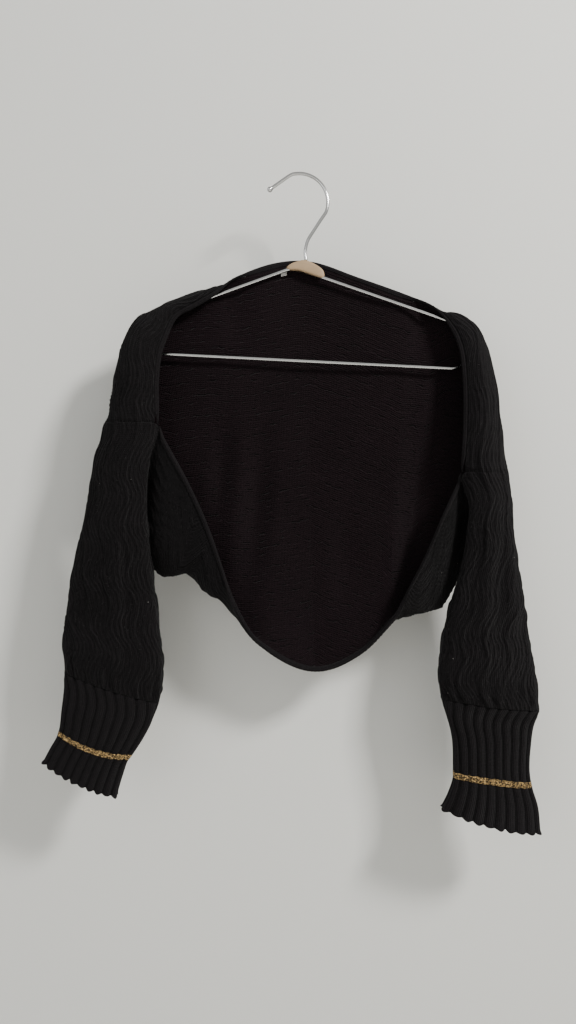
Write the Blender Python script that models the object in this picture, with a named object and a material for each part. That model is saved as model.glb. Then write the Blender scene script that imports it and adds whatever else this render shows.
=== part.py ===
"""A long-sleeved knitted shrug on a wire hanger, as Blender solids.

Metres, +Z up, +X to the right of someone facing the garment, +Y away from them. The origin is the
underside of the hook's crown, where the peg that holds the hanger touches it.

The shrug is one panel knitted from cuff to cuff. Its two long sides are sewn together along each
sleeve, up to a point under each arm. Between those two points they stay open: one long side is the
neck and front edge, the other is the hem. SECTIONS gives the panel's cross sections in order, from
the left cuff over the back to the right cuff. A section starts at the seam, or at the front edge,
goes over the top, down the back, round the low fold and up to the seam again, or to the hem.
"""

import math
from collections import namedtuple

import bmesh
import bpy
import numpy as np

MM = 0.001

# Driving sizes, in millimetres
WALL = 2.2
SEAM_GAP = 0.3
WIRE = 4.0
WIRE_STEP = 70.0
BAND_WIDTH = 8.0
BAND_THICK = 3.4
BAND_CLEARANCE = 0.3
RIB_HEIGHT = 1.1
RIBS_ROUND_CUFF = 20
WAVE_LENGTH = 63.0
WAVE_SWING = 4.0
BODY_SWING = 1.5
RIDGE_HEIGHT = 1.3
STRIPE_THICK = 2.6
FOLD_SOFTNESS = 4.5
BELLY_SHARE = 0.28
BELLY_MOST = 7.0
BACK_DRAWN_IN = 0.965
CUFF_SQUARENESS = 0.75

# How finely the walls are divided, and the sections at which the body's solid is divided
ROUND_COLUMNS = 32
SLEEVE_ROWS = 16
# Distance between the body's rows, by the X of its neck edge: closer where the neck edge turns over.
BODY_STEPS = [
    (-174, 16), (-150, 13), (-120, 9), (-75, 8), (-50, 26), (110, 28), (145, 9), (165, 7), (190, 7),
    (198, 16),
]
BODY_PIECES = (
    "body_left",
    "body_shoulder_left",
    "body_neck_left",
    "body_back",
    "body_neck_right",
    "body_turn_right",
    "body_shoulder_right",
    "body_right",
)
BODY_SPLITS = (
    "left_shoulder",
    "left_neck_2",
    "left_neck_4",
    "right_neck_3b",
    "right_neck_1",
    "right_flap_3",
    "right_flap_2",
)
FINE_ROUND = 180
FINE_STEP = 2.5

Section = namedtuple("Section", "name edge front_y top back_y heel toe hem")

# edge is the seam or the front edge, top the outer or highest point, heel the low point of the back
# layer, toe the low point of the front layer, and hem the seam again or the hem. Each is X, Y, Z.
# front_y and back_y say where the two layers run between them.
SECTIONS = [
    Section("left_wrist", (-176, -14, -660), -26, (-293, -10, -622), 6, (-187, 2, -663),
            (-175, -8, -661), None),
    Section("left_puff", (-171, -16, -630), -31, (-294, -12, -592), 8, (-183, 2, -635),
            (-170, -8, -633), None),
    Section("left_forearm", (-177, -18, -554), -33, (-289, -12, -546), 8, (-190, 2, -559),
            (-176, -9, -555), None),
    Section("left_elbow", (-184, -20, -492), -34, (-281, -12, -490), 5, (-196, 0, -501),
            (-183, -12, -495), None),
    Section("left_upper", (-187, -23, -443), -36, (-269, -13, -441), 2, (-202, -4, -453),
            (-188, -15, -446), None),
    Section("left_under", (-186, -26, -394), -37, (-258, -13, -386), 1, (-209, -5, -412),
            (-192, -17, -401), None),
    Section("left_pit", (-181, -25, -350), -36, (-250, -12, -346), 4, (-214, -4, -385),
            (-194, -17, -368), None),
    Section("left_corner", (-173, -22, -317), -35, (-241, -10, -314), 7, (-216, 4, -384),
            (-193, -9, -361), None),
    Section("left_flap_1", (-172, -23, -292), -34, (-235, -9, -286), 9, (-207, 9, -409), (-192, -1, -395),
            (-167, -18, -331)),
    Section("left_flap_2", (-172, -23, -262), -32, (-230, -7, -250), 12, (-202, 12, -454), (-184, -5, -438),
            (-153, -20, -356)),
    Section("left_flap_3", (-169, -19, -228), -26, (-222, -3, -214), 13, (-194, 13, -488), (-167, -9, -471),
            (-138, -22, -383)),
    Section("left_shoulder", (-162, -15, -206), -19, (-207, 0, -182), 13,
            (-177, 13, -504), (-147, -12, -489),
            (-123, -23, -414)),
    Section("left_neck_1", (-151, -11, -182), -13, (-176, 1, -165), 12, (-147, 12, -494), (-127, -14, -496),
            (-108, -24, -450)),
    Section("left_neck_2", (-129, -9, -169), -10, (-140, 3, -150), 11, (-115, 8, -523), (-104, -16, -521),
            (-95, -24, -488)),
    Section("left_neck_3", (-102, -7, -151), -4, (-104, 4, -138), 10, (-84, 0, -549), (-78, -14, -548),
            (-78, -22, -540)),
    Section("left_neck_4", (-84, 1, -131), 3, (-85, 8, -129), 10, (-64, -3, -575), (-60, -13, -576),
            (-60, -18, -571)),
    Section("left_back", (-62, 7, -118), 8, (-62, 7, -118), 11, (-43, -6, -592),
            (-42, -10, -594), (-42, -12, -594)),
    Section("centre", (8, 8, -105), 8, (8, 8, -105), 12, (20, -2, -620), (20, -5, -622), (20, -6, -622)),
    Section("right_back", (77, 7, -127), 8, (77, 7, -127), 11, (79, -5, -597),
            (78, -9, -599), (78, -11, -599)),
    Section("right_neck_3", (140, 6, -150), 6, (139, 7, -148), 10, (115, -4, -559), (114, -14, -558),
            (115, -20, -555)),
    Section("right_neck_3b", (157, 0, -159), 2, (156, 7, -158), 11, (127, 2, -556), (121, -14, -553),
            (123, -22, -543)),
    Section("right_neck_2", (172, -5, -170), -5, (171, 5, -165), 11, (139, 7, -551), (128, -15, -547),
            (131, -23, -523)),
    Section("right_neck_1", (187, -12, -195), -13, (198, 2, -173), 12, (160, 10, -548), (146, -13, -540),
            (148, -24, -490)),
    Section("right_shoulder", (195, -15, -214), -17, (225, 0, -190), 13, (182, 12, -544), (164, -10, -531),
            (163, -23, -458)),
    Section("right_flap_3", (199, -18, -234), -23, (237, -3, -223), 13, (198, 13, -518), (182, -8, -508),
            (176, -22, -427)),
    Section("right_flap_2", (201, -22, -276), -30, (246, -6, -266), 12, (209, 12, -488), (194, -5, -478),
            (188, -20, -402)),
    Section("right_flap_1", (200, -24, -329), -34, (254, -8, -324), 9, (218, 9, -453), (204, -2, -442),
            (196, -18, -386)),
    Section("right_corner", (199, -22, -377), -36, (260, -10, -375), 7, (234, 5, -434),
            (216, -9, -412), None),
    Section("right_pit", (206, -26, -409), -37, (263, -12, -406), 5, (236, -2, -440),
            (219, -15, -423), None),
    Section("right_under", (204, -26, -451), -38, (266, -13, -447), 4, (232, -3, -471),
            (212, -16, -462), None),
    Section("right_upper", (197, -24, -494), -37, (272, -13, -490), 5, (221, -2, -511),
            (203, -14, -500), None),
    Section("right_elbow", (187, -21, -535), -35, (279, -12, -531), 8, (205, 2, -544),
            (189, -10, -538), None),
    Section("right_forearm", (177, -18, -581), -34, (286, -12, -580), 9, (191, 3, -590),
            (179, -8, -584), None),
    Section("right_puff", (173, -16, -628), -33, (296, -12, -637), 9, (186, 3, -635),
            (175, -8, -631), None),
    Section("right_wrist", (178, -14, -655), -30, (299, -12, -670), 8, (189, 3, -660),
            (178, -8, -656), None),
]

# How far the back layer of a section bows in towards the middle, above its low fold.
BACK_BOW = {"left_flap_1": 5.0, "left_flap_2": 8.0, "left_flap_3": 5.0}

CuffRing = namedtuple("CuffRing", "piece inner outer front_y back_y droop")

# Rings of the two ribbed cuffs, from the sleeve down. inner and outer are X, Z, and droop is how far
# the ring hangs down in the middle of its front.
CUFF_RINGS = {
    "left": [
        CuffRing("upper", (-182, -677), (-290, -640), -24, 4, 1),
        CuffRing("upper", (-191, -697), (-293, -668), -24, 4, 3),
        CuffRing("upper", (-207, -722), (-296, -693), -23, 3, 5),
        CuffRing("hem", (-213, -730), (-298, -700), -23, 3, 5),
        CuffRing("hem", (-221, -751), (-307, -716), -23, 3, 4),
        CuffRing("hem", (-228, -775), (-316, -733), -24, 3, 3),
    ],
    "right": [
        CuffRing("upper", (183, -671), (290, -683), -26, 5, 0),
        CuffRing("upper", (191, -700), (285, -712), -25, 4, 0),
        CuffRing("upper", (193, -744), (285, -756), -24, 3, -1),
        CuffRing("hem", (193, -753), (287, -765), -24, 3, 0),
        CuffRing("hem", (187, -773), (294, -788), -25, 4, 2),
        CuffRing("hem", (178, -791), (297, -820), -27, 5, 4),
    ],
}
SLEEVE_TO_CUFF = 0.5

Fold = namedtuple("Fold", "name top bottom depth half_width")

# Soft upright troughs in the hanging back: top and bottom are X, Z, and depth is towards the rear.
BACK_FOLDS = [
    Fold("left_trough", (-48, -330), (-62, -520), 7.0, 16.0),
    Fold("left_small_trough", (-92, -315), (-104, -440), 4.0, 12.0),
    Fold("right_trough", (158, -330), (138, -520), 6.0, 15.0),
    Fold("right_small_trough", (60, -420), (62, -560), 3.0, 18.0),
]

SleeveFold = namedtuple("SleeveFold", "start end share_start share_end height half_share")

# Long creases on the sleeves. start and end are distances along the panel as shares of its whole
# length, share_start and share_end are shares of the way round, and a height below 0 is a trough.
SLEEVE_FOLDS = [
    SleeveFold(0.03, 0.20, 0.12, 0.10, -3.0, 0.035),
    SleeveFold(0.02, 0.17, 0.26, 0.24, -3.0, 0.035),
    SleeveFold(0.05, 0.22, 0.19, 0.17, 2.5, 0.030),
    SleeveFold(0.78, 0.97, 0.33, 0.36, 4.0, 0.030),
    SleeveFold(0.80, 0.98, 0.24, 0.27, -3.0, 0.035),
    SleeveFold(0.79, 0.96, 0.10, 0.12, -2.5, 0.035),
    SleeveFold(0.04, 0.20, 0.60, 0.62, -3.0, 0.040),
    SleeveFold(0.80, 0.96, 0.60, 0.62, -3.0, 0.040),
]

# The hanger, in the plane Y = 0
HOOK_CENTRE = (0.0, -34.0)
HOOK_RADIUS = 36.0
HOOK_TIP = (-39.5, -20.0)
HOOK_NECK = [(7.8, -95.0), (11.0, -82.0), (18.0, -70.5), (26.5, -57.4)]
HOOK_FOOT = (8.4, -107.0)
ARMS_APEX = (-6.7, -116.0)
APEX_RADIUS = 30.0
ARM_REACH = {"left": 196.0, "right": 226.0}
ARM_SLOPE = {"left": 19.9, "right": 19.1}
END_RADIUS = {"left": 22.0, "right": 28.5}
SADDLE_DEPTH = 7.0
SADDLE_RISE = [
    (-16.0, 1.6), (-9.0, 4.4), (-2.6, 6.8), (4.0, 10.2), (8.6, 11.6), (15.0, 11.6), (21.0, 10.5),
    (32.0, 7.2),
]
TIP_RADIUS = 3.4

BLACK_KNIT = ("black_knit", (0.016, 0.015, 0.017), 0.95, 0.0)
BLACK_RIB = ("black_rib", (0.014, 0.014, 0.016), 0.95, 0.0)
GOLD_YARN = ("gold_yarn", (0.42, 0.27, 0.10), 0.45, 0.5)
CHROME = ("chrome_wire", (0.75, 0.76, 0.77), 0.18, 1.0)
BEIGE = ("beige_saddle", (0.60, 0.46, 0.28), 0.7, 0.0)
WHITE_TAPE = ("white_tape", (0.75, 0.74, 0.72), 0.85, 0.0)


def material(finish):
    """Gives the Principled material of one finish: its name, colour, roughness and metallic value."""
    name, colour, roughness, metallic = finish
    found = bpy.data.materials.get(name)
    if found:
        return found
    made = bpy.data.materials.new(name)
    made.use_nodes = True
    shader = made.node_tree.nodes["Principled BSDF"]
    shader.inputs["Base Color"].default_value = (*colour, 1.0)
    shader.inputs["Roughness"].default_value = roughness
    shader.inputs["Metallic"].default_value = metallic
    return made


def add_object(name, points, faces, finish):
    """Makes one named object from points in millimetres and faces that list those points."""
    mesh = bpy.data.meshes.new(name)
    mesh.from_pydata([tuple(p) for p in np.asarray(points) * MM], [], faces)
    work = bmesh.new()
    work.from_mesh(mesh)
    bmesh.ops.triangulate(work, faces=work.faces[:])
    bmesh.ops.recalc_face_normals(work, faces=work.faces[:])
    work.to_mesh(mesh)
    work.free()
    mesh.shade_smooth()
    mesh.set_sharp_from_angle(angle=math.radians(50))
    mesh.materials.append(material(finish))
    made = bpy.data.objects.new(name, mesh)
    bpy.context.scene.collection.objects.link(made)
    return made


def hermite_through(points, places, wanted, closed=False):
    """Reads a smooth curve through points, given at rising places, at the wanted places."""
    points = np.asarray(points, float)
    places = np.asarray(places, float)
    flat = points.reshape(len(points), -1)
    if closed:
        span = places[-1] - places[0]
        flat = np.vstack([flat[-2], flat, flat[1]])
        places = np.concatenate([[places[-2] - span], places, [places[1] + span]])
    steps = np.diff(places)
    slopes = np.diff(flat, axis=0) / steps[:, None]
    tangents = np.empty_like(flat)
    weight = steps[1:] / (steps[:-1] + steps[1:])
    tangents[1:-1] = slopes[:-1] * weight[:, None] + slopes[1:] * (1 - weight)[:, None]
    tangents[0] = slopes[0]
    tangents[-1] = slopes[-1]
    index = np.clip(np.searchsorted(places, wanted, side="right") - 1, 0, len(steps) - 1)
    h = steps[index][:, None]
    u = ((wanted - places[index]) / steps[index])[:, None]
    start = flat[index] * (2 * u**3 - 3 * u**2 + 1) + tangents[index] * h * (u**3 - 2 * u**2 + u)
    end = flat[index + 1] * (3 * u**2 - 2 * u**3) + tangents[index + 1] * h * (u**3 - u**2)
    return (start + end).reshape((len(wanted), *points.shape[1:]))


def spaced_curve(points, count, closed=False):
    """Reads count points, evenly spaced along it, from a smooth curve through the given points."""
    kept = [np.asarray(points[0], float)]
    for point in points[1:]:
        point = np.asarray(point, float)
        if np.linalg.norm(point - kept[-1]) > 4.0:
            kept.append(point)
    if closed:
        kept[-1] = kept[0] if np.linalg.norm(kept[-1] - kept[0]) < 8.0 else kept[-1]
        if kept[-1] is not kept[0]:
            kept.append(kept[0])
    kept = np.array(kept)
    root_steps = np.sqrt(np.linalg.norm(np.diff(kept, axis=0), axis=1))
    places = np.concatenate([[0.0], np.cumsum(root_steps)])
    dense = hermite_through(kept, places, np.linspace(0, places[-1], 600), closed)
    run = np.concatenate([[0.0], np.cumsum(np.linalg.norm(np.diff(dense, axis=0), axis=1))])
    wanted = np.linspace(0, run[-1], count)
    return np.stack([np.interp(wanted, run, dense[:, k]) for k in range(3)], axis=1), run[-1]


def unit(vector):
    """The vector with a length of 1."""
    return vector / np.linalg.norm(vector)


def section_curve(row):
    """Draws one section of the panel: evenly spaced points from its edge round to its hem."""
    edge, top, heel, toe = (np.array(p, float) for p in (row.edge, row.top, row.heel, row.toe))
    hem = edge if row.hem is None else np.array(row.hem, float)
    front = (edge + top) / 2
    front[1] = row.front_y
    upper_back = top + (heel - top) * 0.3
    upper_back[1] = row.back_y
    lower_back = top + (heel - top) * 0.7
    lower_back[1] = row.back_y
    if row.hem is not None:
        lower_back[0] *= BACK_DRAWN_IN
    bow = BACK_BOW.get(row.name, 0.0)
    upper_back[0] += bow * 0.5
    lower_back[0] += bow
    path = [edge, front, top, upper_back, lower_back, heel, toe]
    if row.hem is not None:
        rise = (toe + hem) / 2
        rise[1] = (toe[1] + hem[1]) / 2 - 2.0
        path.append(rise)
    spread = np.linalg.norm(heel - toe)
    if spread > 12.0:
        outwards = unit(heel - lower_back) + unit(toe - hem)
        belly = (heel + toe) / 2 + unit(outwards) * min(spread * BELLY_SHARE, BELLY_MOST)
        path.insert(6, belly)
    path.append(hem)
    return spaced_curve(path, FINE_ROUND + 1, closed=row.hem is None)


def soften(grid, sizes, reach, closed):
    """Smooths rows of points with a bell of the given reach along them. Open ends stay in place."""
    count = grid.shape[1] - 1
    result = grid.copy()
    for i, size in enumerate(sizes):
        sigma = reach / size * count
        span = int(4 * sigma) + 1
        bell = np.exp(-0.5 * (np.arange(-span, span + 1) / sigma) ** 2)
        bell /= bell.sum()
        line = grid[i]
        if closed[i]:
            padded = np.concatenate([line[:-1][-span:], line[:-1], line[:-1][:span + 1]])
        else:
            before = 2 * line[0] - line[1:span + 1][::-1]
            after = 2 * line[-1] - line[-span - 1:-1][::-1]
            padded = np.concatenate([before, line, after])
        for k in range(3):
            result[i, :, k] = np.convolve(padded[:, k], bell, mode="valid")[:count + 1]
    return result


def bump(distance, half_width):
    """A smooth hill: 1 at distance 0, and 0 from half_width outwards."""
    near = np.clip(1 - np.abs(distance) / half_width, 0, 1)
    return near * near * (3 - 2 * near)


def add_back_folds(grid):
    """Moves the hanging back rearwards along each trough, where the cloth is one free layer."""
    x, y, z = grid[..., 0], grid[..., 1], grid[..., 2]
    for fold in BACK_FOLDS:
        along = (fold.top[1] - z) / (fold.top[1] - fold.bottom[1])
        middle = fold.top[0] + (fold.bottom[0] - fold.top[0]) * np.clip(along, 0, 1)
        fade = bump(along - 0.5, 0.75)
        rear = np.clip((y - 2.0) / 6.0, 0, 1)
        y += fold.depth * rear * fade * bump(x - middle, 2 * fold.half_width)


def build_panel():
    """Lofts the whole panel: fine points and outward normals, rows along it and columns round it."""
    curves = []
    lengths = []
    for row in SECTIONS:
        points, length = section_curve(row)
        curves.append(points)
        lengths.append(length)
    curves = np.array(curves)
    gaps = np.linalg.norm(np.diff(curves, axis=0), axis=2).mean(axis=1)
    places = np.concatenate([[0.0], np.cumsum(gaps)])
    place_of = dict(zip((row.name for row in SECTIONS), places))
    left = place_of["left_corner"]
    right = place_of["right_corner"]
    rows = np.linspace(0, places[-1], int(places[-1] / FINE_STEP) + 1)
    rows = np.unique(np.concatenate([rows, [left, right]]))
    grid = hermite_through(curves, places, rows)
    around = np.interp(rows, places, lengths)
    tube = (rows <= left) | (rows >= right)
    grid = soften(grid, around, FOLD_SOFTNESS, tube)
    first, last = (int(np.argmin(np.abs(rows - place))) for place in (left, right))
    body = grid[first:last + 1].transpose(1, 0, 2)
    size = np.full(FINE_ROUND + 1, right - left)
    grid[first:last + 1] = soften(body, size, FOLD_SOFTNESS, size < 0).transpose(1, 0, 2)
    add_back_folds(grid)
    along = np.gradient(grid, rows, axis=0)
    across = np.gradient(grid, axis=1)
    wrapped = grid[tube][:, 1] - grid[tube][:, -2]
    across[tube, 0] = wrapped / 2
    across[tube, -1] = wrapped / 2
    normals = np.cross(along, across)
    normals /= np.linalg.norm(normals, axis=2)[..., None]
    share = rows[:, None] / rows[-1]
    turn = np.linspace(0, 1, FINE_ROUND + 1)[None, :]
    for fold in SLEEVE_FOLDS:
        along_fold = (share - fold.start) / (fold.end - fold.start)
        middle = fold.share_start + (fold.share_end - fold.share_start) * along_fold
        height = fold.height * bump(along_fold - 0.5, 0.5) * bump(turn - middle, 2 * fold.half_share)
        grid = grid + normals * height[..., None]
    return {
        "grid": grid,
        "normals": normals,
        "rows": rows,
        "around": around,
        "left": left,
        "right": right,
        "splits": [place_of[name] for name in BODY_SPLITS],
    }


def read_panel(panel, rows, shares):
    """Reads points and normals of the panel at rows along it and, for each row, shares round it."""
    fine_row = np.interp(rows, panel["rows"], np.arange(len(panel["rows"])))
    low = np.clip(fine_row.astype(int), 0, len(panel["rows"]) - 2)
    mix = (fine_row - low)[:, None, None]
    column = np.clip(shares, 0, 1) * FINE_ROUND
    first = np.clip(column.astype(int), 0, FINE_ROUND - 1)
    part = (column - first)[..., None]
    result = []
    for source in (panel["grid"], panel["normals"]):
        line = source[low] * (1 - mix) + source[low + 1] * mix
        index = np.arange(len(rows))[:, None]
        result.append(line[index, first] * (1 - part) + line[index, first + 1] * part)
    points, normals = result
    normals /= np.linalg.norm(normals, axis=2)[..., None]
    return points, normals


def column_shares(panel, rows):
    """Shares round the panel of the wall's columns, between the two bands, swinging in waves."""
    around = np.interp(rows, panel["rows"], panel["around"])[:, None]
    band = (BAND_WIDTH + SEAM_GAP) / around
    even = np.linspace(0, 1, ROUND_COLUMNS + 1)[None, :]
    inside = np.sin(np.pi * even) ** 0.5
    on_body = (rows > panel["left"]) & (rows < panel["right"])
    width = np.where(on_body, BODY_SWING, WAVE_SWING)[:, None]
    swing = width * np.sin(2 * np.pi * rows / WAVE_LENGTH)[:, None] / around
    near_corner = np.minimum(np.abs(rows - panel["left"]), np.abs(rows - panel["right"]))
    calm = np.clip(near_corner / 30.0, 0, 1)[:, None]
    return band + (1 - 2 * band) * even + swing * inside * calm, calm


def body_rows(panel):
    """Places of the body's rows: close together where the neck turns, wider apart over the plain back."""
    start, end = panel["left"] + SEAM_GAP * 2, panel["right"] - SEAM_GAP * 2
    fine = np.linspace(start, end, 400)
    neck_x = np.interp(fine, panel["rows"], panel["grid"][:, 0, 0])
    step = np.interp(neck_x, *zip(*BODY_STEPS))
    count = np.concatenate([[0.0], np.cumsum(np.diff(fine) / step[1:])])
    return np.interp(np.linspace(0, count[-1], round(count[-1]) + 1), count, fine)


def body_spans(panel, rows):
    """The body's rows in runs, divided at the rows nearest to the sections in BODY_SPLITS."""
    cuts = [int(np.argmin(np.abs(rows - place))) for place in panel["splits"]]
    spans = []
    for first, last in zip([0, *cuts], [*cuts, len(rows) - 1]):
        span = rows[first : last + 1].copy()
        span[0] += SEAM_GAP / 2 if first else 0
        span[-1] -= SEAM_GAP / 2 if last < len(rows) - 1 else 0
        spans.append(span)
    return spans


def wall_mesh(outer, inner, wrap):
    """Joins an outer and an inner grid of points into one closed wall. wrap closes it into a tube."""
    rows, columns = outer.shape[:2]
    points = np.concatenate([outer.reshape(-1, 3), inner.reshape(-1, 3)])
    shift = rows * columns
    faces = []
    last = columns if wrap else columns - 1
    for i in range(rows - 1):
        for j in range(last):
            k = (j + 1) % columns
            a, b, c, d = i * columns + j, i * columns + k, (i + 1) * columns + k, (i + 1) * columns + j
            faces.append((a, b, c, d))
            faces.append((d + shift, c + shift, b + shift, a + shift))
    for i in (0, rows - 1):
        for j in range(last):
            k = (j + 1) % columns
            a, b = i * columns + j, i * columns + k
            faces.append((a, b, b + shift, a + shift))
    if not wrap:
        for j in (0, columns - 1):
            for i in range(rows - 1):
                a, d = i * columns + j, (i + 1) * columns + j
                faces.append((a, d, d + shift, a + shift))
    return points, faces


def add_sleeve(panel, name, start, end):
    """One sleeve: a closed tube with wavy ridges raised on its outside."""
    rows = np.linspace(start, end, SLEEVE_ROWS + 1)
    shares, calm = column_shares(panel, rows)
    shares = np.concatenate([np.zeros((len(rows), 1)), shares], axis=1)
    middle, normals = read_panel(panel, rows, shares)
    ridge = (np.arange(shares.shape[1]) % 3 == 2)[None, :] * RIDGE_HEIGHT * calm
    outer = middle + normals * (WALL / 2 + ridge)[..., None]
    inner = middle - normals * WALL / 2
    return add_object(name, *wall_mesh(outer, inner, wrap=True), BLACK_KNIT)


def add_body(panel, name, rows):
    """One run of the body: the panel between the two underarm points is open in front."""
    shares, calm = column_shares(panel, rows)
    middle, normals = read_panel(panel, rows, shares)
    ridge = (np.arange(shares.shape[1]) % 2 == 1)[None, :] * RIDGE_HEIGHT * calm
    outer = middle + normals * (WALL / 2 + ridge)[..., None]
    inner = middle - normals * WALL / 2
    return add_object(name, *wall_mesh(outer, inner, wrap=False), BLACK_KNIT)


def add_band(panel, name, at_hem):
    """A narrow rolled band along one edge of the opening, an oval that ends short of both corners."""
    rows = body_rows(panel)[1:-1]
    around = np.interp(rows, panel["rows"], panel["around"])
    angles = np.linspace(0, 2 * np.pi, 6, endpoint=False)
    shares = (BAND_WIDTH - BAND_CLEARANCE) / around[:, None] * (1 + np.cos(angles)) / 2
    points, normals = read_panel(panel, rows, 1 - shares if at_hem else shares)
    height = np.sin(angles) * BAND_THICK / 2 / math.sin(math.pi / 3)
    ring = points + normals * height[None, :, None]
    return add_object(name, *tube_mesh(ring), BLACK_RIB)


def tube_mesh(rings):
    """Joins rings of points into one closed tube with flat ends."""
    rows, columns = rings.shape[:2]
    faces = []
    for i in range(rows - 1):
        for j in range(columns):
            k = (j + 1) % columns
            faces.append((i * columns + j, i * columns + k, (i + 1) * columns + k, (i + 1) * columns + j))
    faces.append(tuple(reversed(range(columns))))
    faces.append(tuple((rows - 1) * columns + j for j in range(columns)))
    return rings.reshape(-1, 3), faces


def oval_ring(inner, outer, front_y, back_y, droop, offset, ribbed):
    """One ring of a cuff: an oval from its inner point round its front, with ribs raised on it."""
    count = 2 * RIBS_ROUND_CUFF
    angle = np.linspace(np.pi, 3 * np.pi, 401)
    centre = np.array([(inner[0] + outer[0]) / 2, (front_y + back_y) / 2, (inner[1] + outer[1]) / 2])
    half = np.array([(outer[0] - inner[0]) / 2, 0, (outer[1] - inner[1]) / 2])
    width = np.linalg.norm(half)
    depth = (back_y - front_y) / 2
    wide = np.sign(np.cos(angle)) * np.abs(np.cos(angle)) ** CUFF_SQUARENESS * (width + offset)
    deep = np.sign(np.sin(angle)) * np.abs(np.sin(angle)) ** CUFF_SQUARENESS * (depth + offset)
    run = np.concatenate([[0.0], np.cumsum(np.hypot(np.diff(wide), np.diff(deep)))])
    wanted = np.linspace(0, run[-1], count, endpoint=False)
    wide = np.interp(wanted, run, wide)
    deep = np.interp(wanted, run, deep)
    if ribbed:
        rib = (np.arange(count) % 2) * RIB_HEIGHT
        wide = wide * (1 + rib / width)
        deep = deep * (1 + rib / depth)
    points = centre + half / width * wide[:, None]
    points[:, 1] += deep
    front = np.clip(-deep / depth, -1, 1)
    points[:, 2] -= droop * front * (1 - np.clip(np.abs(wide) / width, 0, 1) ** 2)
    return points


def wrist_ring(panel, side, offset, ribbed):
    """The cuff's first ring, which lies on the panel's own last section."""
    count = 2 * RIBS_ROUND_CUFF
    row = panel["rows"][0] if side == "left" else panel["rows"][-1]
    shares = np.linspace(0, 1, count, endpoint=False)[None, :]
    points, normals = read_panel(panel, np.array([row]), shares)
    rib = (np.arange(count) % 2) * RIB_HEIGHT * ribbed
    return points[0] + normals[0] * (offset + rib)[:, None]


def mix_rings(first, second, share):
    """The ring that lies a share of the way from the first ring to the second."""
    return first * (1 - share) + second * share


def add_cuff(panel, side):
    """A ribbed cuff: its upper part, the gold stripe knitted into it, and the part down to its hem."""
    rows = {
        piece: [ring[1:] for ring in CUFF_RINGS[side] if ring.piece == piece]
        for piece in ("upper", "hem")
    }
    walls = {}
    for face, thick, ribbed in (("outer", WALL, True), ("inner", -WALL, False)):
        upper = [wrist_ring(panel, side, thick / 2, ribbed)]
        upper += [oval_ring(*ring, thick / 2, ribbed) for ring in rows["upper"]]
        hem = [oval_ring(*ring, thick / 2, ribbed) for ring in rows["hem"]]
        upper.insert(2, mix_rings(upper[1], upper[2], 0.5))
        hem.insert(2, mix_rings(hem[1], hem[2], 0.5))
        proud = (STRIPE_THICK - WALL) / 2 * (1 if thick > 0 else -1)
        above = oval_ring(*rows["upper"][-1], thick / 2 + proud, ribbed)
        below = oval_ring(*rows["hem"][0], thick / 2 + proud, ribbed)
        gap = SEAM_GAP / np.linalg.norm(above.mean(axis=0) - below.mean(axis=0))
        stripe = [mix_rings(above, below, gap), mix_rings(above, below, 1 - gap)]
        walls[face] = {"upper": np.array(upper), "stripe": np.array(stripe), "hem": np.array(hem)}
    for piece, finish in (("upper", BLACK_RIB), ("stripe", GOLD_YARN), ("hem", BLACK_RIB)):
        mesh = wall_mesh(walls["outer"][piece], walls["inner"][piece], wrap=True)
        add_object(f"cuff_{side}_{piece}", *mesh, finish)


def arc(centre, radius, start, end, count):
    """Points along an arc in the plane Y = 0. Angles are in degrees from +X towards +Z."""
    angles = np.radians(np.linspace(start, end, count))
    zeros = np.zeros(count)
    across = centre[0] + radius * np.cos(angles)
    up = centre[1] + radius * np.sin(angles)
    return np.stack([across, zeros, up], axis=1)


def wire_rings(path, radii, closed=False):
    """Rings of eight points round a flat path in the plane Y = 0."""
    if closed:
        ahead = np.roll(path, -1, axis=0) - np.roll(path, 1, axis=0)
    else:
        ahead = np.gradient(path, axis=0)
    ahead /= np.linalg.norm(ahead, axis=1)[:, None]
    side = np.stack([ahead[:, 2], np.zeros(len(path)), -ahead[:, 0]], axis=1)
    angles = np.linspace(0, 2 * np.pi, 8, endpoint=False)
    rear = np.array([0.0, 1.0, 0.0])
    spread = side[:, None] * np.cos(angles)[None, :, None] + rear * np.sin(angles)[None, :, None]
    return path[:, None] + spread * np.asarray(radii)[:, None, None]


def arm_height(x):
    """The height of the wire's middle along the two sloping arms."""
    apex_x, apex_z = ARMS_APEX
    slopes = {side: math.tan(math.radians(ARM_SLOPE[side])) for side in ("left", "right")}
    side = np.where(x < apex_x, slopes["left"], slopes["right"])
    return apex_z - np.abs(x - apex_x) * side


def hanger_path():
    """The middle of the hanger's closed loop: sloping arms, rounded ends and a straight bar."""
    apex_x, apex_z = ARMS_APEX
    ends = {}
    for side, sign in (("left", -1), ("right", 1)):
        slope = math.radians(ARM_SLOPE[side])
        reach = ARM_REACH[side] - END_RADIUS[side]
        drop = reach * math.tan(slope) + END_RADIUS[side] / math.cos(slope)
        ends[side] = (apex_x + sign * reach, apex_z - drop)
    mean_slope = math.radians((ARM_SLOPE["left"] + ARM_SLOPE["right"]) / 2)
    top = (apex_x, apex_z - APEX_RADIUS / math.cos(mean_slope))
    path = np.concatenate([
        arc(top, APEX_RADIUS, 90 + ARM_SLOPE["left"], 90 - ARM_SLOPE["right"], 7),
        arc(ends["right"], END_RADIUS["right"], 90 - ARM_SLOPE["right"], -90, 9),
        arc(ends["left"], END_RADIUS["left"], 270, 90 + ARM_SLOPE["left"], 9),
    ])
    spaced = []
    for first, second in zip(path, np.roll(path, -1, axis=0)):
        pieces = max(1, int(np.linalg.norm(second - first) // WIRE_STEP))
        for step in range(pieces):
            spaced.append(first + (second - first) * step / pieces)
    return np.array(spaced)


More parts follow.
